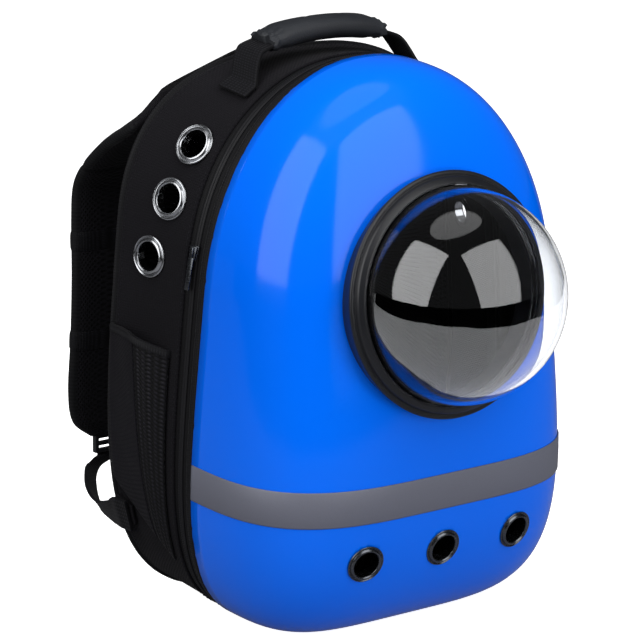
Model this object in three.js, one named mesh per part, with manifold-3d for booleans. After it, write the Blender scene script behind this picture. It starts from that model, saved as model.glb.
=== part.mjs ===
// Bubble pet carrier backpack: a hard moulded front with a clear bubble window, zipped to a soft
// vented gusset with a padded back, a grab handle, side pockets and two shoulder straps.
// Millimetres. X runs across the wearer's back, Y from the window to the straps, Z up.
import * as THREE from "three";
import { mergeVertices } from "three/addons/utils/BufferGeometryUtils.js";
import Module from "manifold-3d";

const wasm = await Module();
wasm.setup();

// Zip edge, where the hard front meets the soft part: an arch that widens towards a squarer foot
const HEIGHT = 420;
const RIM_WIDTH = 271;
const RIM_WIDEST = 261;
const RIM_ROUND_UP = 2.17;
const RIM_ROUND_DOWN = 4.5;
const TAPER = 0.235;
const RIM_LEAN = 0.028;
const LEAN_PIVOT = 200;
const SOLE_FLAT = 2.5;

// Back edge of the soft part
const REAR_WIDTH = 302;
const REAR_HEIGHT = 411;
const REAR_WIDEST = 290;
const REAR_ROUND_UP = 2.68;
const REAR_ROUND_DOWN = 3.55;
const SIDE_DEPTH = 84;

// Hard front
const SHELL_DEPTH_LOW = 138;
const SHELL_DEPTH_TOP = 88;
const SHELL_ROUND_FACE = 3.1;
const SHELL_ROUND_EDGE = 3.24;
const SHELL_WALL = 2.5;

// Soft side, measured backwards from the zip edge
const SEAM_GAP = 0.3;
const BINDING_WIDTH = 7;
const BINDING_THICKNESS = 3;
const ZIP_WIDTH = 12;
const ZIP_THICKNESS = 1.4;
const ZIP_COIL_WIDTH = 5;
const ZIP_COIL_RISE = 1.4;
const ZIP_INSET = 2;
const CLOTH = 2;
const CLOTH_INSET = 0.4;
const SEWN_LIFT = 0.6;
const PIPING_RADIUS = 2.6;
const PIPING_SINK = 0.4;
const PANEL_THICKNESS = 14;
const PANEL_CROWN = 5;
const PANEL_INSET = 5;
const PANEL_SHOULDER = 0.4;
const PANEL_FLAT = 0.9;

// Zip slider with its hanging pull
const SLIDER_HEIGHT = 288;
const SLIDER_LENGTH = 11;
const SLIDER_WIDTH = 8;
const SLIDER_THICKNESS = 3.4;
const PULL_LENGTH = 24;
const PULL_WIDTH = 5;
const PULL_THICKNESS = 1.6;
const PULL_OVERLAP = 2;

// Window
const WINDOW_HEIGHT = 264.5;
const WINDOW_TILT = THREE.MathUtils.degToRad(8);
const DOME_RADIUS = 78.4;
const DOME_WALL = 2.6;
const DOME_NECK = 12;
const DOME_FLANGE = 4.5;
const DOME_SEAT = 3.7;
const RING_RADIUS = 88.7;
const RING_FOOT_RADIUS = 85.5;
const RING_EDGE_RISE = 4.6;
const RING_LIP_RISE = 11.6;
const RING_SKIRT = 24;
const RING_CHAMFER = 1.5;
const FIT = 0.4;

// Reflective tape
const STRIPE_HEIGHT = 120.4;
const STRIPE_WIDTH = 27;
const STRIPE_THICKNESS = 0.8;
const STRIPE_SETBACK = 1;

// Vent eyelets: height up the carrier, and the place across the front or along the side
const EYELET_WALL = 1.2;
const EYELET_RISE = 2.2;
const EYELET_GRIP = 2.8;
const FRONT_EYELET_HOLE = 20;
const FRONT_EYELET_WIDTH = 29;
const FRONT_EYELET_HEIGHT = 75.3;
const FRONT_EYELET_PITCH = 68;
const SIDE_EYELET_HOLE = 21;
const SIDE_EYELET_WIDTH = 31;
const SIDE_EYELETS = [
  { name: "top", height: 0.876 * REAR_HEIGHT, depth: 0.49 * SIDE_DEPTH },
  { name: "middle", height: 0.7825 * REAR_HEIGHT, depth: 0.53 * SIDE_DEPTH },
  { name: "low", height: 0.6757 * REAR_HEIGHT, depth: 0.66 * SIDE_DEPTH },
];

// Side pockets: a mesh gore in front, a plain wall behind, sewn down at the foot
const POCKET_TOP = 222;
const POCKET_TOP_FRONT = 212;
const POCKET_FOOT_FRONT = 52;
const POCKET_FOOT_REAR = 106;
const POCKET_FRONT = 0.33 * SIDE_DEPTH;
const POCKET_SEAM_TOP = 0.6 * SIDE_DEPTH;
const POCKET_SEAM_FOOT = 0.5 * SIDE_DEPTH;
const POCKET_BULGE = 12;
const POCKET_BULGE_REAR = 5;
const POCKET_CLOTH = 2;
const POCKET_MESH = 1.2;

// Grab handle over the arch
const HANDLE_SPAN = 184;
const HANDLE_RISE = 15;
const HANDLE_DEPTH = 42;
const HANDLE_BACKSET = 10;
const WEBBING = 2.4;
const HANDLE_WIDTH = 30;
const GRIP_LENGTH = 100;
const GRIP_WIDTH = 32;
const GRIP_THICKNESS = 16;
const GRIP_PLAY = 0.6;
// along: share of half the span; rise: share of the handle's rise; back: share of its backset
const HANDLE_ROUTE = [
  { along: 1, rise: 0, back: 0 },
  { along: 0.88, rise: 0, back: 0 },
  { along: 0.79, rise: 0.05, back: 0.1 },
  { along: 0.74, rise: 0.5, back: 0.5 },
  { along: 0.69, rise: 0.85, back: 0.8 },
  { along: 0.61, rise: 0.95, back: 1 },
  { along: 0.32, rise: 1, back: 1 },
];

// Shoulder straps
const STRAP_WIDTH = 75;
const STRAP_THICKNESS = 13;
const STRAP_SPREAD = 92;
const STRAP_STANDOFF = 84;
const STRAP_TOP = 398;
const STRAP_END = 98;
// spread, out: shares of the strap's spread and standoff; down: share of the way from top to end;
// wide: share of the strap's width; roll: turn of its width out of level, in degrees
const STRAP_ROUTE = [
  { spread: 0.69, out: 0, down: 0, wide: 1.1, roll: -18 },
  { spread: 0.9, out: 0.05, down: 0.07, wide: 1.1, roll: -20 },
  { spread: 0.97, out: 0.24, down: 0.13, wide: 1.04, roll: -12 },
  { spread: 0.99, out: 0.47, down: 0.18, wide: 1, roll: -6 },
  { spread: 1, out: 0.75, down: 0.25, wide: 1, roll: -3 },
  { spread: 1, out: 0.93, down: 0.32, wide: 1, roll: 0 },
  { spread: 1, out: 0.97, down: 0.41, wide: 1, roll: 0 },
  { spread: 1, out: 0.97, down: 0.56, wide: 1, roll: 0 },
  { spread: 1, out: 1, down: 0.72, wide: 1, roll: 0 },
  { spread: 1, out: 1.05, down: 0.87, wide: 1, roll: 0 },
  { spread: 0.99, out: 1.08, down: 0.955, wide: 0.88, roll: 0 },
  { spread: 0.97, out: 1.08, down: 1, wide: 0.52, roll: 0 },
];
const STRAP_WEBBING_WIDTH = 25;
const WEBBING_SAG = 14;
// across, forward: shares of the way from the adjuster to the anchor; sag: share of the webbing's
// sag under the straight way; turn: how far it has turned from lying flat to standing on edge
const WEBBING_ROUTE = [
  { across: 0, forward: 0, sag: 0, turn: 0 },
  { across: 0.03, forward: 0, sag: 0.2, turn: 0.03 },
  { across: 0.3, forward: 0.06, sag: 0.38, turn: 0.2 },
  { across: 0.46, forward: 0.155, sag: 0.6, turn: 0.3 },
  { across: 0.59, forward: 0.28, sag: 0.85, turn: 0.33 },
  { across: 0.7, forward: 0.43, sag: 1, turn: 0.42 },
  { across: 0.82, forward: 0.61, sag: 0.85, turn: 0.62 },
  { across: 0.92, forward: 0.81, sag: 0.45, turn: 0.82 },
  { across: 0.97, forward: 0.92, sag: 0.15, turn: 0.95 },
];
const ADJUSTER_WIDTH = 32;
const ADJUSTER_HEIGHT = 14;
const ADJUSTER_THICKNESS = 5;
const ADJUSTER_BAR = 2.6;
const ADJUSTER_SLOT = 3.1;
const ANCHOR_HEIGHT = 78;
const ANCHOR_LENGTH = 16;
const ANCHOR_WIDTH = 26;

// Fineness of the facets
const AROUND = 50;
const SHELL_ROWS = 10;
const SHELL_ROWS_INSIDE = 6;
const RING_SIDES = 38;
const EYELET_SIDES = 12;

const UP = new THREE.Vector3(0, 0, 1);
const ACROSS = new THREE.Vector3(1, 0, 0);
const vec = (x, y, z) => new THREE.Vector3(x, y, z);
const mix = THREE.MathUtils.lerp;

// Outlines: each is a two-power superellipse, seen from the front, around the hub
const HUB = RIM_WIDEST;

class Outline {
  constructor(width, widest, top, roundUp, roundDown) {
    Object.assign(this, { width, widest, top, roundUp, roundDown });
  }

  halfWidth(z) {
    return (this.width / 2) * (1 - (TAPER * (z - this.widest)) / HEIGHT);
  }

  // 0 at the widest height on the middle line, 1 on the outline
  share(x, z) {
    const above = z >= this.widest;
    const power = above ? this.roundUp : this.roundDown;
    const reach = above ? this.top - this.widest : this.widest;
    const across = Math.abs(x / this.halfWidth(z)) ** power;
    const along = Math.abs((z - this.widest) / reach) ** power;
    return (across + along) ** (1 / power);
  }

  // The outline's point in a direction from the hub, with angle 0 upwards and +X next
  at(angle) {
    let near = 0;
    let far = HEIGHT;
    for (let i = 0; i < 40; i += 1) {
      const middle = (near + far) / 2;
      const inside = this.share(middle * Math.sin(angle), HUB + middle * Math.cos(angle)) < 1;
      if (inside) near = middle;
      else far = middle;
    }
    return new THREE.Vector2(near * Math.sin(angle), HUB + near * Math.cos(angle));
  }
}

const rim = new Outline(RIM_WIDTH, RIM_WIDEST, HEIGHT, RIM_ROUND_UP, RIM_ROUND_DOWN);
const rear = new Outline(REAR_WIDTH, REAR_WIDEST, REAR_HEIGHT, REAR_ROUND_UP, REAR_ROUND_DOWN);
const rimLean = (z) => -RIM_LEAN * (z - LEAN_PIVOT);

// Directions that step evenly along the zip edge, alike on both sides
function evenAngles(count) {
  const fine = 720;
  const lengths = [0];
  let last = rim.at(0);
  for (let i = 1; i <= fine; i += 1) {
    const next = rim.at((2 * Math.PI * i) / fine);
    lengths.push(lengths[i - 1] + next.distanceTo(last));
    last = next;
  }
  const angles = [];
  let step = 0;
  for (let i = 0; i < count; i += 1) {
    const wanted = (lengths[fine] * i) / count;
    while (lengths[step + 1] < wanted) step += 1;
    const part = (wanted - lengths[step]) / (lengths[step + 1] - lengths[step]);
    angles.push((2 * Math.PI * (step + part)) / fine);
  }
  return angles;
}

const ANGLES = evenAngles(AROUND);

// A point of the soft side: depth behind the zip edge, lift outwards from the cloth's face
function sidePoint(angle, depth, lift = 0) {
  const part = Math.min(depth / SIDE_DEPTH, 1);
  const flat = (a) => rim.at(a).lerp(rear.at(a), part);
  const point = flat(angle);
  const ahead = flat(angle + 0.01);
  const behind = flat(angle - 0.01);
  const out = new THREE.Vector2(behind.y - ahead.y, ahead.x - behind.x).normalize().multiplyScalar(lift);
  const y = mix(rimLean(rim.at(angle).y), SIDE_DEPTH, part) + Math.max(0, depth - SIDE_DEPTH);
  const floor = SOLE_FLAT + Math.max(0, -lift - CLOTH_INSET);
  return vec(point.x + out.x, y, Math.max(point.y + out.y, floor));
}

// The direction, on the +X side, in which the soft side reaches a given height
function angleAtHeight(height, depth) {
  let upper = 0;
  let lower = Math.PI;
  for (let i = 0; i < 40; i += 1) {
    const middle = (upper + lower) / 2;
    if (sidePoint(middle, depth).z > height) upper = middle;
    else lower = middle;
  }
  return upper;
}

// Outward direction of the soft side at a point
function sideNormal(angle, depth) {
  const around = sidePoint(angle + 0.01, depth).sub(sidePoint(angle - 0.01, depth));
  const along = sidePoint(angle, depth + 1).sub(sidePoint(angle, depth - 1));
  const normal = around.cross(along).normalize();
  const outwards = vec(Math.sin(angle), 0, Math.cos(angle));
  return normal.dot(outwards) < 0 ? normal.negate() : normal;
}

// The hard front's face at a place seen from the front, lifted along its own normal
function shellDepth(z) {
  return mix(SHELL_DEPTH_LOW, SHELL_DEPTH_TOP, z / HEIGHT);
}

function shellY(x, z) {
  const share = Math.min(rim.share(x, z), 1);
  return rimLean(z) - shellDepth(z) * (1 - share ** SHELL_ROUND_FACE) ** (1 / SHELL_ROUND_EDGE);
}

function shellField(x, y, z) {
  const forward = Math.max(0, (rimLean(z) - y) / shellDepth(z));
  return rim.share(x, z) ** SHELL_ROUND_FACE + forward ** SHELL_ROUND_EDGE;
}

function shellNormal(point) {
  const { x, y, z } = point;
  const step = 0.05;
  return vec(
    shellField(x + step, y, z) - shellField(x - step, y, z),
    shellField(x, y + step, z) - shellField(x, y - step, z),
    shellField(x, y, z + step) - shellField(x, y, z - step),
  ).normalize();
}

function shellPoint(x, z, lift = 0) {
  const point = vec(x, shellY(x, z), z);
  if (lift !== 0) point.addScaledVector(shellNormal(point), lift);
  point.z = Math.max(point.z, SOLE_FLAT + Math.max(0, -lift));
  return point;
}

// Closed bodies from points: faces are turned outwards by the sign of their volume
function closedBody(points, triangles) {
  let volume = 0;
  for (const [a, b, c] of triangles) {
    volume += points[a].dot(points[b].clone().cross(points[c]));
  }
  const index = triangles.flatMap(([a, b, c]) => (volume < 0 ? [a, c, b] : [a, b, c]));
  const geometry = new THREE.BufferGeometry();
  const positions = points.flatMap((point) => point.toArray());
  geometry.setAttribute("position", new THREE.Float32BufferAttribute(positions, 3));
  geometry.setIndex(index);
  return geometry;
}

// A body through sections with equal numbers of points, closed on itself or capped at both ends
function loft(sections, closed) {
  const size = sections[0].length;
  const last = sections.length - 1;
  const triangles = [];
  const spans = closed ? sections.length : last;
  for (let i = 0; i < spans; i += 1) {
    const here = i * size;
    const there = ((i + 1) % sections.length) * size;
    for (let j = 0; j < size; j += 1) {
      const next = (j + 1) % size;
      triangles.push([here + j, there + j, there + next], [here + j, there + next, here + next]);
    }
  }
  if (!closed) {
    for (let j = 1; j < size - 1; j += 1) {
      triangles.push([0, j, j + 1], [last * size, last * size + j + 1, last * size + j]);
    }
  }
  return closedBody(sections.flat(), triangles);
}

// A sheet with thickness between two grids of rows and columns
function slab(face, back) {
  const rows = face.length;
  const columns = face[0].length;
  const under = rows * columns;
  const at = (row, column) => row * columns + column;
  const triangles = [];
  for (let r = 0; r < rows - 1; r += 1) {
    for (let c = 0; c < columns - 1; c += 1) {
      const [a, b, d, e] = [at(r, c), at(r, c + 1), at(r + 1, c), at(r + 1, c + 1)];
      triangles.push([a, b, e], [a, e, d]);
      triangles.push([under + a, under + e, under + b], [under + a, under + d, under + e]);
    }
  }
  const edge = [];
  for (let c = 0; c < columns - 1; c += 1) edge.push(at(0, c));
  for (let r = 0; r < rows - 1; r += 1) edge.push(at(r, columns - 1));
  for (let c = columns - 1; c > 0; c -= 1) edge.push(at(rows - 1, c));
  for (let r = rows - 1; r > 0; r -= 1) edge.push(at(r, 0));
  edge.forEach((a, i) => {
    const b = edge[(i + 1) % edge.length];
    triangles.push([a, under + a, b], [b, under + a, under + b]);
  });
  return closedBody([...face.flat(), ...back.flat()], triangles);
}

// A band all round the soft side with a cross-section of depth and lift pairs
function sideBand(profile) {
  return loft(
    ANGLES.map((angle) => profile.map(([depth, lift]) => sidePoint(angle, depth, lift))),
    true,
  );
}

// One welded closed surface, faces outwards, from a three.js geometry
function welded(geometry) {
  const source = geometry.clone();
  source.deleteAttribute("normal");
  source.deleteAttribute("uv");
  const merged = mergeVertices(source, 1e-3);
  const position = merged.attributes.position;
  const points = [];
  for (let i = 0; i < position.count; i += 1) points.push(vec().fromBufferAttribute(position, i));
  const corners = merged.index.array;
  const triangles = [];
  for (let i = 0; i < corners.length; i += 3) {
    const [a, b, c] = corners.slice(i, i + 3);
    if (a !== b && b !== c && c !== a) triangles.push([a, b, c]);
  }
  return closedBody(points, triangles);
}

// A turned body about an axis through a point, with a profile of radius and height pairs
function turned(profile, sides, origin, axis) {
  const outline = [...profile, profile[0]].map(([radius, height]) => new THREE.Vector2(radius, height));
  const geometry = new THREE.LatheGeometry(outline, sides);
  geometry.applyQuaternion(new THREE.Quaternion().setFromUnitVectors(vec(0, 1, 0), axis));
  geometry.translate(origin.x, origin.y, origin.z);
  return welded(geometry);
}

const rod = (radius, low, high, sides, origin, axis) =>
  turned([[0, low], [radius, low], [radius, high], [0, high]], sides, origin, axis);

// A box with its own directions: along, across and up through its middle
function block(size, middle, along, across, up) {
  const geometry = new THREE.BoxGeometry(size.x, size.y, size.z);
  geometry.applyMatrix4(new THREE.Matrix4().makeBasis(along, across, up).setPosition(middle));
  return welded(geometry);
}

// Booleans
function toSolid(geometry) {
  const vertProperties = new Float32Array(geometry.attributes.position.array);
  const triVerts = new Uint32Array(geometry.index.array);
  return new wasm.Manifold(new wasm.Mesh({ numProp: 3, vertProperties, triVerts }));
}

function toGeometry(solid) {
  const mesh = solid.getMesh();
  const geometry = new THREE.BufferGeometry();
  geometry.setAttribute("position", new THREE.BufferAttribute(mesh.vertProperties, 3));
  geometry.setIndex(new THREE.BufferAttribute(mesh.triVerts, 1));
  return geometry;
}

function cut(body, cutters) {
  let solid = toSolid(body);
  for (const cutter of cutters) solid = solid.subtract(toSolid(cutter));
  return toGeometry(solid);
}

const joined = (first, second) => toGeometry(toSolid(first).add(toSolid(second)));
const shared = (first, second) => toGeometry(toSolid(first).intersect(toSolid(second)));

// Rows of the hard front's face, from the zip edge to the crown, and the crown itself
function shellRows(rows, lift) {
  const points = [];
  for (let row = 0; row < rows; row += 1) {
    const share = Math.cos((Math.PI * row) / (2 * rows)) ** (2 / SHELL_ROUND_FACE);
    points.push(ANGLES.map((angle) => {
      const edge = rim.at(angle);
      return shellPoint(edge.x * share, mix(HUB, edge.y, share), lift);
    }));
  }
  return { rows: points, crown: shellPoint(0, HUB, lift) };
}

// Triangles between neighbouring rings of points that share their count
function ringTriangles(first, rings, count) {
  const triangles = [];
  for (let ring = 0; ring < rings - 1; ring += 1) {
    for (let j = 0; j < count; j += 1) {
      const next = (j + 1) % count;
      const here = first + ring * count;
      const there = here + count;
      triangles.push([here + j, here + next, there + next], [here + j, there + next, there + j]);
    }
  }
  return triangles;
}

const fan = (ringStart, count, centre, turn) =>
  Array.from({ length: count }, (_, j) => {
    const pair = [ringStart + j, ringStart + ((j + 1) % count)];
    return turn ? [pair[1], pair[0], centre] : [...pair, centre];
  });

function shellBody() {
  const outer = shellRows(SHELL_ROWS, 0);
  const inner = shellRows(SHELL_ROWS_INSIDE, -SHELL_WALL);
  const rings = [...outer.rows.reverse(), ...inner.rows];
  const crowns = rings.length * AROUND;
  const triangles = [
    ...ringTriangles(0, rings.length, AROUND),
    ...fan(0, AROUND, crowns, true),
    ...fan(crowns - AROUND, AROUND, crowns + 1, false),
  ];
  return closedBody([...rings.flat(), outer.crown, inner.crown], triangles);
}

// The whole space behind the hard front's face, lifted off it: it cuts what is fitted to the face
function shellSpace(lift) {
  const outer = shellRows(SHELL_ROWS, lift);
  const rings = outer.rows.reverse();
  const crown = rings.length * AROUND;
  const triangles = [
    ...ringTriangles(0, rings.length, AROUND),
    ...fan(0, AROUND, crown, true),
    ...fan(crown - AROUND, AROUND, crown + 1, false),
  ];
  return closedBody([...rings.flat(), outer.crown, vec(0, rimLean(HUB), HUB)], triangles);
}

// Window
const windowAxis = vec(0, -Math.cos(WINDOW_TILT), Math.sin(WINDOW_TILT));
const windowCentre = shellPoint(0, WINDOW_HEIGHT);

function windowRing() {
  const bore = DOME_RADIUS + FIT;
  const seat = DOME_RADIUS + DOME_FLANGE + FIT;
  const seatRise = DOME_SEAT + DOME_WALL + FIT;
  const profile = [
    [RING_FOOT_RADIUS, -RING_SKIRT],
    [RING_RADIUS, RING_EDGE_RISE],
    [RING_RADIUS - RING_CHAMFER, RING_EDGE_RISE + RING_CHAMFER],
    [mix(bore, RING_RADIUS, 0.67), RING_EDGE_RISE + RING_CHAMFER],
    [mix(bore, RING_RADIUS, 0.6), mix(RING_EDGE_RISE, RING_LIP_RISE, 0.55)],
    [mix(bore, RING_RADIUS, 0.16), RING_LIP_RISE],
    [bore, RING_LIP_RISE - FIT],
    [bore, seatRise],
    [seat, seatRise],
    [seat, -RING_SKIRT],
  ];
  return cut(turned(profile, RING_SIDES, windowCentre, windowAxis), [shellSpace(SEAM_GAP)]);
}

function windowDome() {
  const steps = 6;
  const inside = DOME_RADIUS - DOME_WALL;
  const arc = (radius, i) => {
    const turn = (Math.PI * i) / (2 * steps);
    return [radius * Math.cos(turn), DOME_NECK + radius * Math.sin(turn)];
  };
  const profile = [
    [inside, DOME_SEAT],
    [DOME_RADIUS + DOME_FLANGE, DOME_SEAT],
    [DOME_RADIUS + DOME_FLANGE, DOME_SEAT + DOME_WALL],
    [DOME_RADIUS, DOME_SEAT + DOME_WALL],
  ];
  for (let i = 0; i <= steps; i += 1) profile.push(arc(DOME_RADIUS, i));
  for (let i = steps; i >= 0; i -= 1) profile.push(arc(inside, i));
  return cut(turned(profile, RING_SIDES, windowCentre, windowAxis), [shellSpace(SEAM_GAP)]);
}

// Reflective tape: a level slice of a thin skin over the hard front
function reflectiveStripe() {
  const clear = HEIGHT;
  const size = vec(2 * clear, clear, STRIPE_WIDTH);
  const front = rimLean(STRIPE_HEIGHT) - STRIPE_SETBACK;
  const middle = vec(0, front - clear / 2, STRIPE_HEIGHT);
  const slice = block(size, middle, ACROSS, vec(0, 1, 0), UP);
  const skin = cut(shellSpace(SEAM_GAP + STRIPE_THICKNESS), [shellSpace(SEAM_GAP)]);
  return shared(skin, slice);
}

// Eyelet: rolled flange outside, barrel through the wall, washer inside
function eyelet(hole, width, wall, origin, axis) {
  const inner = hole / 2;
  const barrel = inner + EYELET_WALL;
  const outer = width / 2;
  const inside = -wall - EYELET_GRIP;
  const profile = [
    [inner, inside - EYELET_WALL],
    [mix(barrel, outer, 0.7), inside - EYELET_WALL],
    [mix(barrel, outer, 0.7), inside],
    [barrel, inside],
    [barrel, SEAM_GAP],
    [outer, SEAM_GAP],
    [mix(inner, outer, 0.75), EYELET_RISE],
    [inner + FIT, EYELET_RISE * 0.8],
  ];
  return turned(profile, EYELET_SIDES, origin, axis);
}

const eyeletHole = (hole, origin, axis) =>
  rod(hole / 2 + EYELET_WALL + FIT, -hole, hole, EYELET_SIDES, origin, axis);

const frontEyelets = [
  { name: "left", x: -FRONT_EYELET_PITCH },
  { name: "middle", x: 0 },
  { name: "right", x: FRONT_EYELET_PITCH },
].map(({ name, x }) => {
  const origin = shellPoint(x, FRONT_EYELET_HEIGHT);
  return { name: `front_eyelet_${name}`, origin, axis: shellNormal(origin) };
});

const sideEyelets = SIDE_EYELETS.flatMap(({ name, height, depth }) =>
  [-1, 1].map((side) => {
    const angle = side * angleAtHeight(height, depth);
    return {
      name: `side_eyelet_${side < 0 ? "left" : "right"}_${name}`,
      origin: sidePoint(angle, depth, -CLOTH_INSET),
      axis: sideNormal(angle, depth),
    };
  }),
);

// Hard front with its window and vents cut out
function frontShell() {
  const hole = DOME_RADIUS - DOME_WALL;
  const window = rod(hole, -hole, hole / 2, RING_SIDES, windowCentre, windowAxis);
  const vents = frontEyelets.map(({ origin, axis }) => eyeletHole(FRONT_EYELET_HOLE, origin, axis));
  return cut(shellBody(), [window, ...vents]);
}

// Bands round the soft side, from the zip edge backwards
const bindingFront = SEAM_GAP;
const bindingBack = bindingFront + BINDING_WIDTH;
const zipFront = bindingBack + SEAM_GAP;
const zipBack = zipFront + ZIP_WIDTH;
const clothFront = zipBack + SEAM_GAP;

const flatBand = (front, back, face, thickness) =>
  sideBand([[front, face], [back, face], [back, face - thickness], [front, face - thickness]]);

function zipper() {
  const middle = (zipFront + zipBack) / 2;
  const half = ZIP_COIL_WIDTH / 2;
  return sideBand([
    [zipFront, -ZIP_INSET],
    [middle - half, -ZIP_INSET],
    [middle, ZIP_COIL_RISE - ZIP_INSET],
    [middle + half, -ZIP_INSET],
    [zipBack, -ZIP_INSET],
    [zipBack, -ZIP_INSET - ZIP_THICKNESS],
    [zipFront, -ZIP_INSET - ZIP_THICKNESS],
  ]);
}

function gusset() {
  const band = flatBand(clothFront, SIDE_DEPTH, -CLOTH_INSET, CLOTH);
  return cut(band, sideEyelets.map(({ origin, axis }) => eyeletHole(SIDE_EYELET_HOLE, origin, axis)));
}

function backPiping() {
  const corners = 6;
  const centre = SIDE_DEPTH + SEAM_GAP + PIPING_RADIUS;
  const profile = Array.from({ length: corners }, (_, i) => {
    const turn = (2 * Math.PI * i) / corners;
    return [centre + PIPING_RADIUS * Math.cos(turn), PIPING_RADIUS * (Math.sin(turn) - PIPING_SINK)];
  });
  return sideBand(profile);
}

// Padded back: flat towards the cabin, crowned towards the wearer
const panelFront = SIDE_DEPTH + SEAM_GAP;
const panelEdge = -PIPING_RADIUS * (Math.sin(Math.PI / 3) + PIPING_SINK) - SEAM_GAP;
const panelFace = panelFront + PANEL_THICKNESS;

function backPanel() {
  const ring = (share, y) =>
    ANGLES.map((angle) => {
      const edge = sidePoint(angle, SIDE_DEPTH, panelEdge);
      return vec(edge.x * share, y, mix(HUB, edge.z, share));
    });
  const rings = [
    ring(1, panelFront),
    ring(1, panelFace - PANEL_CROWN),
    ring(1 - (2 * PANEL_INSET) / REAR_WIDTH, panelFace - PANEL_CROWN * PANEL_SHOULDER),
    ring(PANEL_FLAT, panelFace),
  ];
  const centres = rings.length * AROUND;
  const triangles = [
    ...ringTriangles(0, rings.length, AROUND),
    ...fan(0, AROUND, centres, true),
    ...fan(centres - AROUND, AROUND, centres + 1, false),
  ];
  return closedBody([...rings.flat(), vec(0, panelFront, HUB), vec(0, panelFace, HUB)], triangles);
}

// Zip slider, its pull hanging along the zip
function zipSlider() {
  const depth = (zipFront + zipBack) / 2;
  const seat = ZIP_COIL_RISE - ZIP_INSET + SEAM_GAP;
  const angle = angleAtHeight(SLIDER_HEIGHT, depth);
  const up = sideNormal(angle, depth);
  const along = sidePoint(angle + 0.01, depth).sub(sidePoint(angle - 0.01, depth)).normalize();
  if (along.z > 0) along.negate();
  const across = up.clone().cross(along).normalize();
  const middle = sidePoint(angle, depth, seat).addScaledVector(up, SLIDER_THICKNESS / 2);
  const body = block(vec(SLIDER_LENGTH, SLIDER_WIDTH, SLIDER_THICKNESS), middle, along, across, up);
  const hang = middle.clone()
    .addScaledVector(along, (SLIDER_LENGTH + PULL_LENGTH) / 2 - PULL_OVERLAP)
    .addScaledVector(up, (SLIDER_THICKNESS - PULL_THICKNESS) / 2);
  const pull = block(vec(PULL_LENGTH, PULL_WIDTH, PULL_THICKNESS), hang, along, across, up);
  return joined(body, pull);
}

// Side pocket: how far its wall stands off the side, by its place from front to rear and foot to top
function pocketLift(depth, rise) {
  const seam = mix(POCKET_SEAM_FOOT, POCKET_SEAM_TOP, rise);
  const sewn = SEWN_LIFT - CLOTH_INSET;
  const bulge = POCKET_BULGE * rise ** 0.7;
  const bulgeRear = POCKET_BULGE_REAR * rise ** 0.5;
  const rearTurn = SIDE_DEPTH - POCKET_BULGE_REAR;
  if (depth <= seam) {
    return sewn + bulge * Math.sin((((depth - POCKET_FRONT) / (seam - POCKET_FRONT)) * Math.PI) / 2);
  }
  if (depth <= rearTurn) return sewn + mix(bulge, bulgeRear, (depth - seam) / (rearTurn - seam));
  return sewn + bulgeRear * (1 - (depth - rearTurn) / (SIDE_DEPTH - rearTurn));
}

function pocketSheet(depthsAt, thickness) {
  const rises = [0, 0.08, 0.22, 0.4, 0.6, 0.8, 1];
  const grid = (extra) => rises.map((rise) =>
    depthsAt(rise).map((depth) => {
      const back = (depth - POCKET_FRONT) / (SIDE_DEPTH - POCKET_FRONT);
      const height = mix(
        mix(POCKET_FOOT_FRONT, POCKET_FOOT_REAR, back),
        mix(POCKET_TOP_FRONT, POCKET_TOP, Math.min(1, 2 * back)),
        rise,
      );
      return sidePoint(angleAtHeight(height, depth), depth, pocketLift(depth, rise) + extra);
    }));
  return slab(grid(thickness), grid(0));
}

const pocketSeam = (rise) => mix(POCKET_SEAM_FOOT, POCKET_SEAM_TOP, rise);
const steps = (from, to, count) => Array.from({ length: count + 1 }, (_, i) => mix(from, to, i / count));

const pocketWall = () => pocketSheet(
  (rise) => [...steps(pocketSeam(rise) + SEAM_GAP, SIDE_DEPTH - POCKET_BULGE_REAR, 4), SIDE_DEPTH],
  POCKET_CLOTH,
);
const pocketMesh = () => pocketSheet((rise) => steps(POCKET_FRONT, pocketSeam(rise), 4), POCKET_MESH);

// A flat strip swept through points with a width direction at each; section gives its outline
function strip(route, section) {
  const sections = route.map(({ point, wide, width, thickness }, i) => {
    const before = route[Math.max(i - 1, 0)].point;
    const after = route[Math.min(i + 1, route.length - 1)].point;
    const along = after.clone().sub(before);
    const across = wide.clone().normalize();
    const up = across.clone().cross(along).normalize();
    return section.map(([a, b]) =>
      point.clone().addScaledVector(across, a * width).addScaledVector(up, b * thickness));
  });
  return loft(sections, false);
}

const FLAT_SECTION = [[-0.5, -0.5], [0.5, -0.5], [0.5, 0.5], [-0.5, 0.5]];
const PADDED_SECTION = [
  [-0.5, -0.2], [-0.44, -0.5], [0.44, -0.5], [0.5, -0.2],
  [0.5, 0.2], [0.44, 0.5], [-0.44, 0.5], [-0.5, 0.2],
];

// Grab handle: its webbing is sewn down at both ends and stands clear of the arch between them
function archAngle(x, depth) {
  let near = 0;
  let far = Math.PI / 2;
  for (let i = 0; i < 40; i += 1) {
    const middle = (near + far) / 2;
    if (sidePoint(middle, depth).x < Math.abs(x)) near = middle;
    else far = middle;
  }
  return Math.sign(x) * near;
}

// Direction straight back along the soft side's face
const sideBackwards = (angle, depth) =>
  sidePoint(angle, depth + 1).sub(sidePoint(angle, depth - 1)).normalize();

const handleRows = [
  ...HANDLE_ROUTE.map((row) => ({ ...row, along: -row.along })),
  { along: 0, rise: 1, back: 1 },
  ...HANDLE_ROUTE.slice().reverse(),
];
const handleRoute = (width, thickness) => handleRows.map(({ along, rise, back }) => {
  const depth = HANDLE_DEPTH + back * HANDLE_BACKSET;
  const angle = archAngle((along * HANDLE_SPAN) / 2, depth);
  const point = sidePoint(angle, depth, SEWN_LIFT + WEBBING / 2);
  point.z += rise * HANDLE_RISE;
  return { point, wide: sideBackwards(angle, depth), width, thickness };
});

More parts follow.
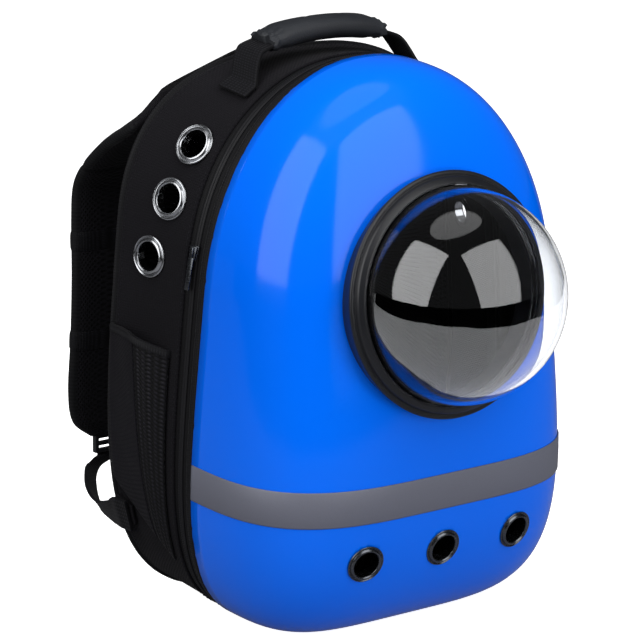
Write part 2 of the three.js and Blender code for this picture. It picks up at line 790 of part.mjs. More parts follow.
// Its ends are trimmed to the side's face, which they are sewn to
function handleStrap() {
  const face = SEAM_GAP - CLOTH_INSET;
  const side = flatBand(clothFront, SIDE_DEPTH, face, GRIP_THICKNESS);
  return cut(strip(handleRoute(HANDLE_WIDTH, WEBBING), FLAT_SECTION), [side]);
}

function handleGrip() {
  const depth = HANDLE_DEPTH + HANDLE_BACKSET;
  const rows = [-1, -0.5, 0, 0.5, 1].map((share) => {
    const angle = archAngle((share * GRIP_LENGTH) / 2, depth);
    const point = sidePoint(angle, depth, SEWN_LIFT + WEBBING / 2);
    point.z += HANDLE_RISE;
    return { point, wide: sideBackwards(angle, depth), width: GRIP_WIDTH, thickness: GRIP_THICKNESS };
  });
  const bore = handleRoute(HANDLE_WIDTH + 2 * GRIP_PLAY, WEBBING + 2 * GRIP_PLAY);
  return cut(strip(rows, PADDED_SECTION), [strip(bore, FLAT_SECTION)]);
}

// Shoulder strap
const strapPlace = ({ spread, out, down }) => vec(
  spread * STRAP_SPREAD,
  panelFace + SEAM_GAP + STRAP_THICKNESS / 2 + out * STRAP_STANDOFF,
  mix(STRAP_TOP, STRAP_END, down),
);

function shoulderStrap() {
  const route = STRAP_ROUTE.map((row) => {
    const roll = THREE.MathUtils.degToRad(row.roll);
    const wide = vec(Math.cos(roll), 0, Math.sin(roll));
    return { point: strapPlace(row), wide, width: row.wide * STRAP_WIDTH, thickness: STRAP_THICKNESS };
  });
  return strip(route, PADDED_SECTION);
}

const strapFoot = () => strapPlace(STRAP_ROUTE[STRAP_ROUTE.length - 1]);

function strapAdjuster() {
  const middle = strapFoot();
  middle.z -= SEAM_GAP + ADJUSTER_HEIGHT / 2;
  const size = vec(ADJUSTER_WIDTH, ADJUSTER_THICKNESS, ADJUSTER_HEIGHT);
  const frame = (extent, shift) => {
    const at = middle.clone();
    at.z += shift;
    return block(extent, at, ACROSS, vec(0, 1, 0), UP);
  };
  const slot = vec(STRAP_WEBBING_WIDTH + 2 * SEAM_GAP, ADJUSTER_THICKNESS * 2, ADJUSTER_SLOT);
  const shift = (ADJUSTER_BAR + ADJUSTER_SLOT) / 2;
  return cut(frame(size, 0), [frame(slot, shift), frame(slot, -shift)]);
}

// Anchor patch on the side's rear foot corner, and the webbing from there to the adjuster
function strapAnchor() {
  const face = SEWN_LIFT - CLOTH_INSET;
  const grid = (lift) => [-0.5, 0, 0.5].map((share) =>
    steps(SIDE_DEPTH - ANCHOR_LENGTH, SIDE_DEPTH, 2).map((depth) => {
      const narrow = mix(0.55, 1, (depth - SIDE_DEPTH + ANCHOR_LENGTH) / ANCHOR_LENGTH);
      const height = ANCHOR_HEIGHT + share * ANCHOR_WIDTH * narrow;
      return sidePoint(angleAtHeight(height, depth), depth, lift);
    }));
  return slab(grid(face + CLOTH), grid(face));
}

function strapWebbing() {
  const start = strapFoot();
  start.z -= ADJUSTER_HEIGHT + 3 * SEAM_GAP;
  const lift = 3 * SEWN_LIFT - CLOTH_INSET + CLOTH + WEBBING / 2;
  const sewn = [2, 8, 14].map((inset) => {
    const depth = SIDE_DEPTH - inset;
    const angle = angleAtHeight(ANCHOR_HEIGHT, depth);
    const upwards = sidePoint(angle - 0.02, depth).sub(sidePoint(angle + 0.02, depth)).normalize();
    return { point: sidePoint(angle, depth, lift), wide: upwards };
  });
  const end = sewn[0];
  const hanging = WEBBING_ROUTE.map(({ across, forward, sag, turn }) => ({
    point: vec(
      mix(start.x, end.point.x, across),
      mix(start.y, end.point.y, forward),
      mix(start.z, end.point.z, forward) - sag * WEBBING_SAG,
    ),
    wide: ACROSS.clone().multiplyScalar(Math.cos((turn * Math.PI) / 2))
      .addScaledVector(end.wide, Math.sin((turn * Math.PI) / 2))
      .add(vec(0, -Math.sin(turn * Math.PI), 0)),
  }));
  const route = [...hanging, ...sewn];
  return strip(
    route.map((row) => ({ ...row, width: STRAP_WEBBING_WIDTH, thickness: WEBBING })),
    FLAT_SECTION,
  );
}

// The same piece on the other side
const mirrored = (geometry) => welded(geometry.clone().scale(-1, 1, 1));

// Finishes
const finish = (color, roughness, metalness = 0, extra = {}) => ({ color, roughness, metalness, ...extra });
const BLUE_ABS = finish(0x0a6fe0, 0.15);
const BLACK_ABS = finish(0x16171a, 0.3);
const CLEAR_PC = finish(0xdfe6ea, 0.05, 0, { transparent: true, opacity: 0.3 });
const BLACK_OXFORD = finish(0x1c1b20, 0.85);
const BLACK_TAPE = finish(0x121215, 0.7);
const AIR_MESH = finish(0x141316, 0.9);
const GREY_TAPE = finish(0x6e707c, 0.45);
const STEEL = finish(0xb9bcc0, 0.25, 1);
const GUNMETAL = finish(0x6c6f72, 0.3, 1);
const SOFT_GRIP = finish(0x25262b, 0.6);

const model = new THREE.Group();

function add(name, geometry, look) {
  geometry.computeVertexNormals();
  const mesh = new THREE.Mesh(geometry, new THREE.MeshStandardMaterial(look));
  mesh.name = name;
  model.add(mesh);
}

add("front_shell", frontShell(), BLUE_ABS);
add("shell_binding", flatBand(bindingFront, bindingBack, -CLOTH_INSET, BINDING_THICKNESS), BLACK_OXFORD);
add("zipper", zipper(), BLACK_TAPE);
add("zip_slider", mirrored(zipSlider()), GUNMETAL);
add("gusset", gusset(), BLACK_OXFORD);
add("back_piping", backPiping(), BLACK_OXFORD);
add("back_panel", backPanel(), AIR_MESH);
add("window_ring", windowRing(), BLACK_ABS);
add("window_dome", windowDome(), CLEAR_PC);
add("reflective_stripe", reflectiveStripe(), GREY_TAPE);
add("handle_strap", handleStrap(), BLACK_TAPE);
add("handle_grip", handleGrip(), SOFT_GRIP);

for (const { name, origin, axis } of frontEyelets) {
  add(name, eyelet(FRONT_EYELET_HOLE, FRONT_EYELET_WIDTH, SHELL_WALL, origin, axis), GUNMETAL);
}
for (const { name, origin, axis } of sideEyelets) {
  add(name, eyelet(SIDE_EYELET_HOLE, SIDE_EYELET_WIDTH, CLOTH, origin, axis), STEEL);
}

const PAIRED = [
  { name: "side_pocket", geometry: pocketWall(), look: BLACK_OXFORD },
  { name: "side_pocket_mesh", geometry: pocketMesh(), look: AIR_MESH },
  { name: "shoulder_strap", geometry: shoulderStrap(), look: AIR_MESH },
  { name: "strap_adjuster", geometry: strapAdjuster(), look: BLACK_ABS },
  { name: "strap_webbing", geometry: strapWebbing(), look: BLACK_TAPE },
  { name: "strap_anchor", geometry: strapAnchor(), look: BLACK_OXFORD },
];
for (const { name, geometry, look } of PAIRED) {
  add(`${name}_left`, mirrored(geometry), look);
  add(`${name}_right`, geometry, look);
}

// The origin is the middle of the overall box, at the floor
const extent = new THREE.Box3().setFromObject(model);
const middle = extent.getCenter(vec());
model.position.set(-middle.x, -middle.y, -extent.min.z);

export default model;
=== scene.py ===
import math
from functools import lru_cache

import bmesh
import bpy
from mathutils import Matrix, Vector, noise


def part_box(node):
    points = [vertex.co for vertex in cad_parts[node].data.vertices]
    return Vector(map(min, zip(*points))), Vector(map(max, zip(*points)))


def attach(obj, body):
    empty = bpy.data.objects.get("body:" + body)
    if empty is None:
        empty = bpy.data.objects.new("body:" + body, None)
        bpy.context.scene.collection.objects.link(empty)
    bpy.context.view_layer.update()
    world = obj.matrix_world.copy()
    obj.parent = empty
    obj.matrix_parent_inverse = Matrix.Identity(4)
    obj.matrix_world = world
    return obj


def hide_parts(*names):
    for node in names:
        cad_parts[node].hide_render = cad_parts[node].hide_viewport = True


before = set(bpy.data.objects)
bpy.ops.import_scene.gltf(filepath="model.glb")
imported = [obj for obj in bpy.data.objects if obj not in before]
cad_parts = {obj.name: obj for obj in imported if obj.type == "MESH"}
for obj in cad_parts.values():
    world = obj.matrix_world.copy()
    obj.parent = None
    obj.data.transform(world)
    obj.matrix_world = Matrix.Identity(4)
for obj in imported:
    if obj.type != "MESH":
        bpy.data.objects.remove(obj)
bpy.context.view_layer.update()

bl_info = {
    "name": "Bubble Pet Carrier Backpack",
    "version": (1, 0, 0),
    "blender": (4, 5, 0),
    "location": "View3D > Sidebar > Carrier",
    "description": "Hard front, bubble window, zip, cloth, straps and studio of a pet carrier backpack",
    "category": "Object",
}

BODY = "root"
MM = 0.001

# Zip edge and back edge of the soft side
HEIGHT = 420.0
HUB = 261.0
TAPER = 0.235
RIM = {"width": 271.0, "widest": HUB, "top": HEIGHT, "round_up": 2.17, "round_down": 4.5}
REAR = {"width": 302.0, "widest": 290.0, "top": 411.0, "round_up": 2.68, "round_down": 3.55}
RIM_LEAN = 0.028
LEAN_PIVOT = 200.0
SOLE_FLAT = 2.5
SIDE_DEPTH = 84.0

# Hard front
SHELL_DEPTH_LOW = 138.0
SHELL_DEPTH_TOP = 88.0
SHELL_ROUND_FACE = 3.1
SHELL_ROUND_EDGE = 3.24
SHELL_WALL = 2.5

# Soft side, measured backwards from the zip edge
SEAM_GAP = 0.3
BINDING_FRONT = 0.3
BINDING_BACK = 7.3
ZIP_FRONT = 7.6
ZIP_BACK = 19.6
ZIP_MIDDLE = (ZIP_FRONT + ZIP_BACK) / 2
CLOTH_FRONT = 19.9
CLOTH = 2.0
CLOTH_INSET = 0.4
ZIP_INSET = 2.0
ZIP_COIL_RISE = 1.4
COIL_PITCH = 1.9
SLIDER_HEIGHT = 288.0
PIPING_RADIUS = 2.6
PIPING_SINK = 0.4
PANEL_FRONT = SIDE_DEPTH + SEAM_GAP
PANEL_THICKNESS = 14.0
PANEL_FACE = PANEL_FRONT + PANEL_THICKNESS
PANEL_EDGE = -PIPING_RADIUS * (math.sin(math.pi / 3) + PIPING_SINK) - SEAM_GAP
# Sewn edges reach this far under their neighbours, so that no light shows through a seam
TUCK = 1.2

# Rows of sewing as depth behind the zip edge and lift
STITCH_ROWS = ((5.4, -0.55), (21.9, -0.4), (81.6, -0.5))

# Window
WINDOW_HEIGHT = 264.5
WINDOW_TILT = math.radians(8)
DOME_RADIUS = 78.4
DOME_WALL = 2.6
DOME_NECK = 12.0
DOME_FLANGE = 4.5
DOME_SEAT = 3.7
RING_RADIUS = 88.7
RING_FOOT_RADIUS = 85.5
RING_EDGE_RISE = 4.6
RING_SKIRT = 24.0
FIT = 0.4

# Reflective tape and vents
STRIPE_HEIGHT = 120.4
STRIPE_WIDTH = 27.0
STRIPE_RISE = 0.8
STRIPE_TAPE = 0.35
FRONT_VENT = {"hole": 20.0, "width": 29.0, "height": 75.3, "pitch": 68.0}
SIDE_VENT = {"hole": 21.0, "width": 31.0}
# A cut in shell or cloth stands this far past an eyelet's bore, or inside the dome's rim
CUT_MARGIN = 1.6
# Share of the back edge's height, and of the side's depth
SIDE_VENTS = {"top": (0.876, 0.49), "middle": (0.7825, 0.53), "low": (0.6757, 0.66)}

# Side pockets
POCKET_TOP = 222.0
POCKET_TOP_FRONT = 212.0
POCKET_FOOT_FRONT = 52.0
POCKET_FOOT_REAR = 106.0
POCKET_FRONT = 0.33 * SIDE_DEPTH
POCKET_SEAM_TOP = 0.6 * SIDE_DEPTH
POCKET_SEAM_FOOT = 0.5 * SIDE_DEPTH
POCKET_BULGE = 12.0
POCKET_BULGE_REAR = 5.0
POCKET_WALL = 2.0
POCKET_MESH = 1.2
POCKET_RIB = 3.0

# Grab handle
HANDLE_SPAN = 184.0
HANDLE_RISE = 15.0
HANDLE_DEPTH = 42.0
HANDLE_BACKSET = 10.0
HANDLE_WIDTH = 30.0
GRIP_LENGTH = 100.0
GRIP_WIDTH = 32.0
GRIP_THICKNESS = 16.0
GRIP_PLUMP = 1.12
# From the foot inwards: share of half the span, share of the rise, share of the backset
HANDLE_ROUTE = [
    (0.9, 0, 0), (0.85, 0, 0), (0.79, 0.05, 0.1), (0.74, 0.5, 0.5),
    (0.69, 0.85, 0.8), (0.61, 0.95, 1), (0.32, 1, 1),
]

# Shoulder straps
STRAP_WIDTH = 75.0
STRAP_THICKNESS = 13.0
STRAP_SPREAD = 92.0
STRAP_STANDOFF = 84.0
STRAP_TOP = 398.0
STRAP_END = 98.0
# Shares of the strap's length
STRAP_KEEPERS = {"upper": 0.53, "lower": 0.76}
KEEPER_HEIGHT = 15.0
# From the yoke down: shares of the spread, the standoff, the drop and the width, roll in degrees
STRAP_ROUTE = [
    (0.69, 0, 0, 1.1, -18), (0.9, 0.05, 0.07, 1.1, -20), (0.97, 0.24, 0.13, 1.04, -12),
    (0.99, 0.47, 0.18, 1, -6), (1, 0.75, 0.25, 1, -3), (1, 0.93, 0.32, 1, 0),
    (1, 0.97, 0.41, 1, 0), (1, 0.97, 0.56, 1, 0), (1, 1, 0.72, 1, 0),
    (1, 1.05, 0.87, 1, 0), (0.99, 1.08, 0.955, 0.88, 0), (0.97, 1.08, 1, 0.52, 0),
]
WEBBING = 2.4
WEBBING_WIDTH = 25.0
WEBBING_SAG = 14.0
# From the ladder lock to the patch: shares of the way across and forward, of the sag and the turn
WEBBING_ROUTE = [
    (0, 0, 0, 0), (0.03, 0, 0.2, 0.03), (0.3, 0.06, 0.38, 0.2), (0.46, 0.155, 0.6, 0.3),
    (0.59, 0.28, 0.85, 0.33), (0.7, 0.43, 1, 0.42), (0.82, 0.61, 0.85, 0.62),
    (0.92, 0.81, 0.45, 0.82), (0.97, 0.92, 0.15, 0.95),
]
SEWN_LIFT = 0.6
ADJUSTER_WIDTH = 32.0
ADJUSTER_HEIGHT = 14.0
ADJUSTER_THICKNESS = 5.0
ADJUSTER_BAR = 2.6
ADJUSTER_SLOT = 3.1
ANCHOR_HEIGHT = 78.0
ANCHOR_LENGTH = 16.0
ANCHOR_WIDTH = 26.0

WELD = 1e-3
ORIGIN = Vector((0, 0, 0))
UP = Vector((0, 0, 1))
ACROSS = Vector((1, 0, 0))
CABIN = Vector((0, 30, 220))

TO_ROW = Matrix.Translation((
    0,
    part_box("back_panel")[0].y - PANEL_FRONT * MM,
    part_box("gusset")[0].z - SOLE_FLAT * MM,
)) @ Matrix.Scale(MM, 4)


def mix(start, end, share):
    return start + (end - start) * share


def clamp(value, low=0.0, high=1.0):
    return max(low, min(high, value))


def ease(value):
    value = clamp(value)
    return value * value * (3 - 2 * value)


def wander(point, scale, seed=0.0):
    """Smooth noise from -1 to 1 whose lumps are about as wide as scale."""
    return noise.noise(Vector((point[0] / scale + seed, point[1] / scale, point[2] / scale)))


class Outline:
    """A two-power superellipse round the hub, seen from the front."""

    FINE = 7200

    def __init__(self, width, widest, top, round_up, round_down):
        self.width, self.widest, self.top = width, widest, top
        self.round_up, self.round_down = round_up, round_down

    def half_width(self, z):
        return self.width / 2 * (1 - TAPER * (z - self.widest) / HEIGHT)

    def share(self, x, z):
        above = z >= self.widest
        power = self.round_up if above else self.round_down
        reach = self.top - self.widest if above else self.widest
        across = abs(x / self.half_width(z)) ** power
        return (across + abs((z - self.widest) / reach) ** power) ** (1 / power)

    @lru_cache(maxsize=None)
    def reach(self, step):
        turn = 2 * math.pi * step / self.FINE
        near, far = 0.0, HEIGHT
        for _ in range(36):
            middle = (near + far) / 2
            if self.share(middle * math.sin(turn), HUB + middle * math.cos(turn)) < 1:
                near = middle
            else:
                far = middle
        return near

    def at(self, angle):
        """The outline's point in a direction from the hub, as x and height."""
        place = angle / (2 * math.pi) * self.FINE
        step = math.floor(place)
        reach = mix(self.reach(step % self.FINE), self.reach((step + 1) % self.FINE), place - step)
        return Vector((reach * math.sin(angle), HUB + reach * math.cos(angle)))


RIM_LINE = Outline(**RIM)
REAR_LINE = Outline(**REAR)


def rim_lean(z):
    return -RIM_LEAN * (z - LEAN_PIVOT)


def place_along(lengths, wanted):
    """Where a wanted length falls in a rising list of lengths, counted in steps of the list."""
    low, high = 0, len(lengths) - 1
    while high - low > 1:
        middle = (low + high) // 2
        if lengths[middle] <= wanted:
            low = middle
        else:
            high = middle
    return low + (wanted - lengths[low]) / (lengths[high] - lengths[low])


@lru_cache(maxsize=None)
def rim_lengths(fine=1440):
    points = [RIM_LINE.at(2 * math.pi * i / fine) for i in range(fine + 1)]
    lengths = [0.0]
    for last, point in zip(points, points[1:]):
        lengths.append(lengths[-1] + (point - last).length)
    return lengths


def rim_length():
    """Length of the zip edge all round."""
    return rim_lengths()[-1]


@lru_cache(maxsize=None)
def even_angle(share):
    """Direction that is a given share of the way round the zip edge, by length."""
    lengths = rim_lengths()
    return 2 * math.pi * place_along(lengths, rim_length() * (share % 1.0)) / (len(lengths) - 1)


def side_point(angle, depth, lift=0.0):
    """A point of the soft side: depth behind the zip edge, lift outwards from the edge lines."""
    part = min(depth / SIDE_DEPTH, 1.0)

    def flat(turn):
        return RIM_LINE.at(turn).lerp(REAR_LINE.at(turn), part)

    point = flat(angle)
    step = flat(angle + 0.01) - flat(angle - 0.01)
    out = Vector((-step.y, step.x)).normalized() * lift
    y = mix(rim_lean(RIM_LINE.at(angle).y), SIDE_DEPTH, part) + max(0.0, depth - SIDE_DEPTH)
    floor = SOLE_FLAT + max(0.0, -lift - CLOTH_INSET)
    return Vector((point.x + out.x, y, max(point.y + out.y, floor)))


def bisect(start, end, before):
    """The place between start and end where before stops being true."""
    for _ in range(32):
        middle = (start + end) / 2
        if before(middle):
            start = middle
        else:
            end = middle
    return start


def angle_at_height(height, depth):
    return bisect(0.0, math.pi, lambda turn: side_point(turn, depth).z > height)


def arch_angle(x, depth):
    turn = bisect(0.0, math.pi / 2, lambda angle: side_point(angle, depth).x < abs(x))
    return math.copysign(turn, x)


def side_normal(angle, depth):
    around = side_point(angle + 0.01, depth) - side_point(angle - 0.01, depth)
    along = side_point(angle, depth + 1) - side_point(angle, depth - 1)
    normal = around.cross(along).normalized()
    outwards = Vector((math.sin(angle), 0, math.cos(angle)))
    return -normal if normal.dot(outwards) < 0 else normal


def side_backwards(angle, depth):
    return (side_point(angle, depth + 1) - side_point(angle, depth - 1)).normalized()


def shell_depth(z):
    return mix(SHELL_DEPTH_LOW, SHELL_DEPTH_TOP, z / HEIGHT)


def shell_field(x, y, z):
    forward = max(0.0, (rim_lean(z) - y) / shell_depth(z))
    return RIM_LINE.share(x, z) ** SHELL_ROUND_FACE + forward ** SHELL_ROUND_EDGE


def shell_normal(point, step=0.05):
    x, y, z = point
    return Vector((
        shell_field(x + step, y, z) - shell_field(x - step, y, z),
        shell_field(x, y + step, z) - shell_field(x, y - step, z),
        shell_field(x, y, z + step) - shell_field(x, y, z - step),
    )).normalized()


def shell_point(x, z, lift=0.0):
    share = min(RIM_LINE.share(x, z), 1.0)
    drop = (1 - share ** SHELL_ROUND_FACE) ** (1 / SHELL_ROUND_EDGE)
    point = Vector((x, rim_lean(z) - shell_depth(z) * drop, z))
    if lift:
        point += shell_normal(point) * lift
    point.z = max(point.z, SOLE_FLAT + max(0.0, -lift))
    return point


def shell_round(turn, z, lift=0.0):
    """A point of the hard front at a height, in a direction from straight ahead (0) to the sides."""
    heading = Vector((math.sin(turn), -math.cos(turn), 0))
    start = Vector((0, rim_lean(z), z))
    reach = bisect(0.0, HEIGHT, lambda r: shell_field(*(start + heading * r)) < 1)
    point = start + heading * reach
    return point + shell_normal(point) * lift if lift else point


WINDOW_AXIS = Vector((0, -math.cos(WINDOW_TILT), math.sin(WINDOW_TILT)))
WINDOW_CENTRE = shell_point(0, WINDOW_HEIGHT)


# Meshes

def shaped_grid(columns, rows, place, span):
    """A grid whose every corner goes to place(u, v). Its UV map is in metres of the real surface."""
    bm = bmesh.new()
    uv_layer = bm.loops.layers.uv.new("UVMap")
    bmesh.ops.create_grid(bm, x_segments=columns, y_segments=rows, size=0.5)
    for face in bm.faces:
        for loop in face.loops:
            co = loop.vert.co
            loop[uv_layer].uv = ((co.x + 0.5) * span[0] * MM, (co.y + 0.5) * span[1] * MM)
    for vert in bm.verts:
        u = round((vert.co.x + 0.5) * columns) / columns
        v = round((vert.co.y + 0.5) * rows) / rows
        vert.co = place(u, v)
    bmesh.ops.remove_doubles(bm, verts=bm.verts, dist=WELD)
    bmesh.ops.dissolve_degenerate(bm, edges=bm.edges, dist=WELD)
    bmesh.ops.recalc_face_normals(bm, faces=bm.faces)
    return bm


def face_away(bm, inside):
    """Turns an open sheet so that it faces away from a point."""
    total = sum(f.normal.dot(f.calc_center_median() - inside) * f.calc_area() for f in bm.faces)
    if total < 0:
        bmesh.ops.reverse_faces(bm, faces=bm.faces)
    return bm


def close_ends(bm):
    bmesh.ops.holes_fill(bm, edges=[e for e in bm.edges if e.is_boundary], sides=0)
    bmesh.ops.recalc_face_normals(bm, faces=bm.faces)
    return bm


def spun(profile, centre, axis, steps, ring=True):
    """A body turned about an axis from radius and height pairs."""
    bm = bmesh.new()
    corners = [bm.verts.new((radius, 0, height)) for radius, height in profile]
    pairs = list(zip(corners, corners[1:]))
    if ring:
        pairs.append((corners[-1], corners[0]))
    edges = [bm.edges.new(pair) for pair in pairs]
    bmesh.ops.spin(bm, geom=corners + edges, cent=ORIGIN, axis=UP, angle=2 * math.pi,
                   steps=steps, use_merge=True)
    bmesh.ops.remove_doubles(bm, verts=bm.verts, dist=WELD)
    bmesh.ops.dissolve_degenerate(bm, edges=bm.edges, dist=WELD)
    bmesh.ops.recalc_face_normals(bm, faces=bm.faces)
    turn = axis.to_track_quat("Z", "Y").to_matrix().to_4x4()
    bmesh.ops.transform(bm, matrix=Matrix.Translation(centre) @ turn, verts=bm.verts)
    return bm


def open_hole(bm, centre, axis, radius, onto):
    """Cuts a round hole through a sheet and draws its edge onto the circle."""
    def off_axis(point):
        reach = point - centre
        return reach - axis * reach.dot(axis)

    inside = [
        f for f in bm.faces
        if (f.calc_center_median() - centre).length < 1.5 * radius
        and off_axis(f.calc_center_median()).length < radius
    ]
    bmesh.ops.delete(bm, geom=inside, context="FACES")
    for vert in bm.verts:
        if vert.is_boundary and (vert.co - centre).length < 1.6 * radius:
            out = off_axis(vert.co)
            along = axis * (vert.co - centre).dot(axis)
            vert.co = onto(centre + along + out.normalized() * radius)


def merged(*parts):
    """One mesh from several, which are used up."""
    whole = bmesh.new()
    for part in parts:
        mesh = bpy.data.meshes.new("part")
        part.to_mesh(mesh)
        part.free()
        whole.from_mesh(mesh)
        bpy.data.meshes.remove(mesh)
    return whole


def mirror_copy(bm):
    """The same piece on the other side of the carrier."""
    other = bm.copy()
    bmesh.ops.scale(other, vec=(-1, 1, 1), verts=other.verts)
    bmesh.ops.reverse_faces(other, faces=other.faces)
    return other


def make_piece(name, bm, materials, nodes, sharp=None):
    bmesh.ops.transform(bm, matrix=TO_ROW, verts=bm.verts)
    mesh = bpy.data.meshes.new(name)
    bm.to_mesh(mesh)
    bm.free()
    for material in materials:
        mesh.materials.append(material)
    mesh.shade_smooth()
    if sharp is not None:
        mesh.set_sharp_from_angle(angle=math.radians(sharp))
    piece = bpy.data.objects.new(name, mesh)
    bpy.context.scene.collection.objects.link(piece)
    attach(piece, BODY)
    if nodes:
        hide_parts(*nodes)
    return piece


def make_pair(name, bm, materials, nodes, sharp=None):
    """The right piece as built, and its mirror image on the left."""
    left = mirror_copy(bm)
    pieces = []
    for side, body in (("left", left), ("right", bm)):
        replaced = [node.format(side=side) for node in nodes]
        pieces.append(make_piece(f"{name}_{side}", body, materials, replaced, sharp))
    return pieces


def add_wall(piece, thickness, offset=-1.0, inner_material=0):
    wall = piece.modifiers.new("Wall", "SOLIDIFY")
    wall.thickness = thickness * MM
    wall.offset = offset
    wall.use_even_offset = True
    wall.material_offset = inner_material
    return wall


def round_edges(piece, width, segments=2, angle=40):
    bevel = piece.modifiers.new("Round", "BEVEL")
    bevel.width = width * MM
    bevel.segments = segments
    bevel.limit_method = "ANGLE"
    bevel.angle_limit = math.radians(angle)
    return bevel


def round_trip(share, length):
    """A place on a closed circle as long as a band, so that a pattern meets itself at the join."""
    turn = 2 * math.pi * share
    return length / (2 * math.pi) * math.cos(turn), length / (2 * math.pi) * math.sin(turn)


def side_band(profile, columns, ripple=None):
    """A band all round the soft side, closed in section, from depth and lift pairs."""
    count = len(profile)
    length = rim_length()
    reach = sum(math.dist(a, b) for a, b in zip(profile, profile[1:] + profile[:1]))

    def place(u, v):
        depth, lift = profile[round(v * count) % count]
        extra = ripple(u, depth, lift) if ripple else 0.0
        return side_point(even_angle(u), depth, lift + extra)

    return shaped_grid(columns, count, place, (length, reach))


def stitch_row(points, normals, length=2.6, width=0.5):
    """Short sewn stitches, each pressed into the cloth, from points and their outward directions."""
    parts = bmesh.new()
    for i, (point, normal) in enumerate(zip(points, normals)):
        ahead = points[min(i + 1, len(points) - 1)] - points[max(i - 1, 0)]
        if ahead.length < WELD:
            continue
        along = ahead.normalized()
        across = normal.cross(along).normalized()
        up = along.cross(across)
        turn = Matrix((along, across, up)).transposed().to_4x4()
        size = Matrix.Diagonal((length / 2, width / 2, width / 2, 1))
        place = Matrix.Translation(point) @ turn @ size
        bmesh.ops.create_icosphere(parts, subdivisions=1, radius=1.0, matrix=place)
    return parts


class Route:
    """A smooth way through rows of a point, a width direction and a width, paced by its length."""

    FINE = 240

    def __init__(self, rows):
        self.rows = [(Vector(point), Vector(wide).normalized(), width) for point, wide, width in rows]
        fine = [self.through(i / self.FINE)[0] for i in range(self.FINE + 1)]
        self.lengths = [0.0]
        for last, point in zip(fine, fine[1:]):
            self.lengths.append(self.lengths[-1] + (point - last).length)
        self.length = self.lengths[-1]

    def through(self, t):
        place = clamp(t) * (len(self.rows) - 1)
        step = min(int(place), len(self.rows) - 2)
        part = place - step
        rows = [self.rows[clamp(step + i, 0, len(self.rows) - 1)] for i in (-1, 0, 1, 2)]
        found = []
        for i in range(3):
            a, b, c, d = (row[i] for row in rows)
            bend = (c - a) * 0.5
            bend_next = (d - b) * 0.5
            found.append(
                b * (2 * part ** 3 - 3 * part ** 2 + 1) + bend * (part ** 3 - 2 * part ** 2 + part)
                + c * (3 * part ** 2 - 2 * part ** 3) + bend_next * (part ** 3 - part ** 2))
        return found

    def paced(self, share):
        return place_along(self.lengths, clamp(share) * self.length) / self.FINE

    @lru_cache(maxsize=None)
    def at(self, share):
        """The point, along, across and up directions, and the width at a share of the length."""
        t = self.paced(share)
        point, wide, width = self.through(t)
        step = 0.4 / self.FINE
        along = (self.through(t + step)[0] - self.through(t - step)[0]).normalized()
        across = wide.normalized()
        return point, along, across, across.cross(along).normalized(), width

    def place(self, share, a, b):
        """The point that lies a along the width and b off the face, both in millimetres."""
        point, _, across, up, _ = self.at(share)
        return point + across * a + up * b


# Materials

def srgb(code):
    """Linear colour with alpha from an sRGB hex value."""
    channels = [int(code[i:i + 2], 16) / 255 for i in (0, 2, 4)]
    linear = [c / 12.92 if c <= 0.04045 else ((c + 0.055) / 1.055) ** 2.4 for c in channels]
    return (*linear, 1.0)


def add_node(tree, kind, values=None, links=None, **settings):
    """Adds one node with its settings, its socket values and the links that feed it."""
    node = tree.nodes.new(kind)
    for field, value in settings.items():
        setattr(node, field, value)
    for socket, value in (values or {}).items():
        node.inputs[socket].default_value = value
    for socket, source in (links or {}).items():
        tree.links.new(source, node.inputs[socket])
    return node


def new_material(name, values):
    """A material with its shader's constants set, ready for its patterns."""
    material = bpy.data.materials.new(name)
    material.use_nodes = True
    tree = material.node_tree
    tree.nodes.clear()
    shader = add_node(tree, "ShaderNodeBsdfPrincipled", values)
    add_node(tree, "ShaderNodeOutputMaterial", links={"Surface": shader.outputs["BSDF"]})
    return material, tree, shader


def object_place(tree):
    return add_node(tree, "ShaderNodeTexCoord").outputs["Object"]


def surface_place(tree):
    return add_node(tree, "ShaderNodeUVMap", uv_map="UVMap").outputs["UV"]


def mixed_colour(tree, shader, first, second, factor):
    """Colours the shader between two colours by a pattern."""
    blend = add_node(tree, "ShaderNodeMix", {6: first, 7: second}, {0: factor}, data_type="RGBA")
    tree.links.new(blend.outputs[2], shader.inputs["Base Color"])


def ranged(tree, source, low, high):
    node = add_node(tree, "ShaderNodeMapRange", {3: low, 4: high}, {0: source})
    return node.outputs[0]


def bumped(tree, shader, height, depth_mm, strength=1.0, before=None):
    links = {"Height": height}
    if before is not None:
        links["Normal"] = before
    bump = add_node(tree, "ShaderNodeBump", {"Strength": strength, "Distance": depth_mm * MM}, links)
    tree.links.new(bump.outputs["Normal"], shader.inputs["Normal"])
    return bump.outputs["Normal"]


def wave_scale(period_mm):
    """A Wave Texture's scale for bands that repeat every so many millimetres."""
    return 2 * math.pi / 20 / (period_mm * MM)


def glossy_plastic(name, colour, shade, roughness, ripple_mm, ripple_depth, gloss=0.4):
    """Vacuum-formed or moulded glossy sheet: clear highlights that waver a little, faint haze."""
    material, tree, shader = new_material(name, {"IOR": 1.53, "Specular IOR Level": gloss})
    place = object_place(tree)
    cloudy = add_node(tree, "ShaderNodeTexNoise", {"Scale": 6.0, "Detail": 2.0}, {"Vector": place})
    mixed_colour(tree, shader, colour, shade, ranged(tree, cloudy.outputs["Fac"], 0.0, 0.6))
    haze = add_node(tree, "ShaderNodeTexNoise", {"Scale": 45.0, "Detail": 3.0}, {"Vector": place})
    rough = ranged(tree, haze.outputs["Fac"], roughness * 0.75, roughness * 1.35)
    tree.links.new(rough, shader.inputs["Roughness"])
    ripple = add_node(tree, "ShaderNodeTexNoise", {"Scale": 1000 / ripple_mm, "Detail": 1.0},
                      {"Vector": place})
    bumped(tree, shader, ripple.outputs["Fac"], ripple_depth)
    return material


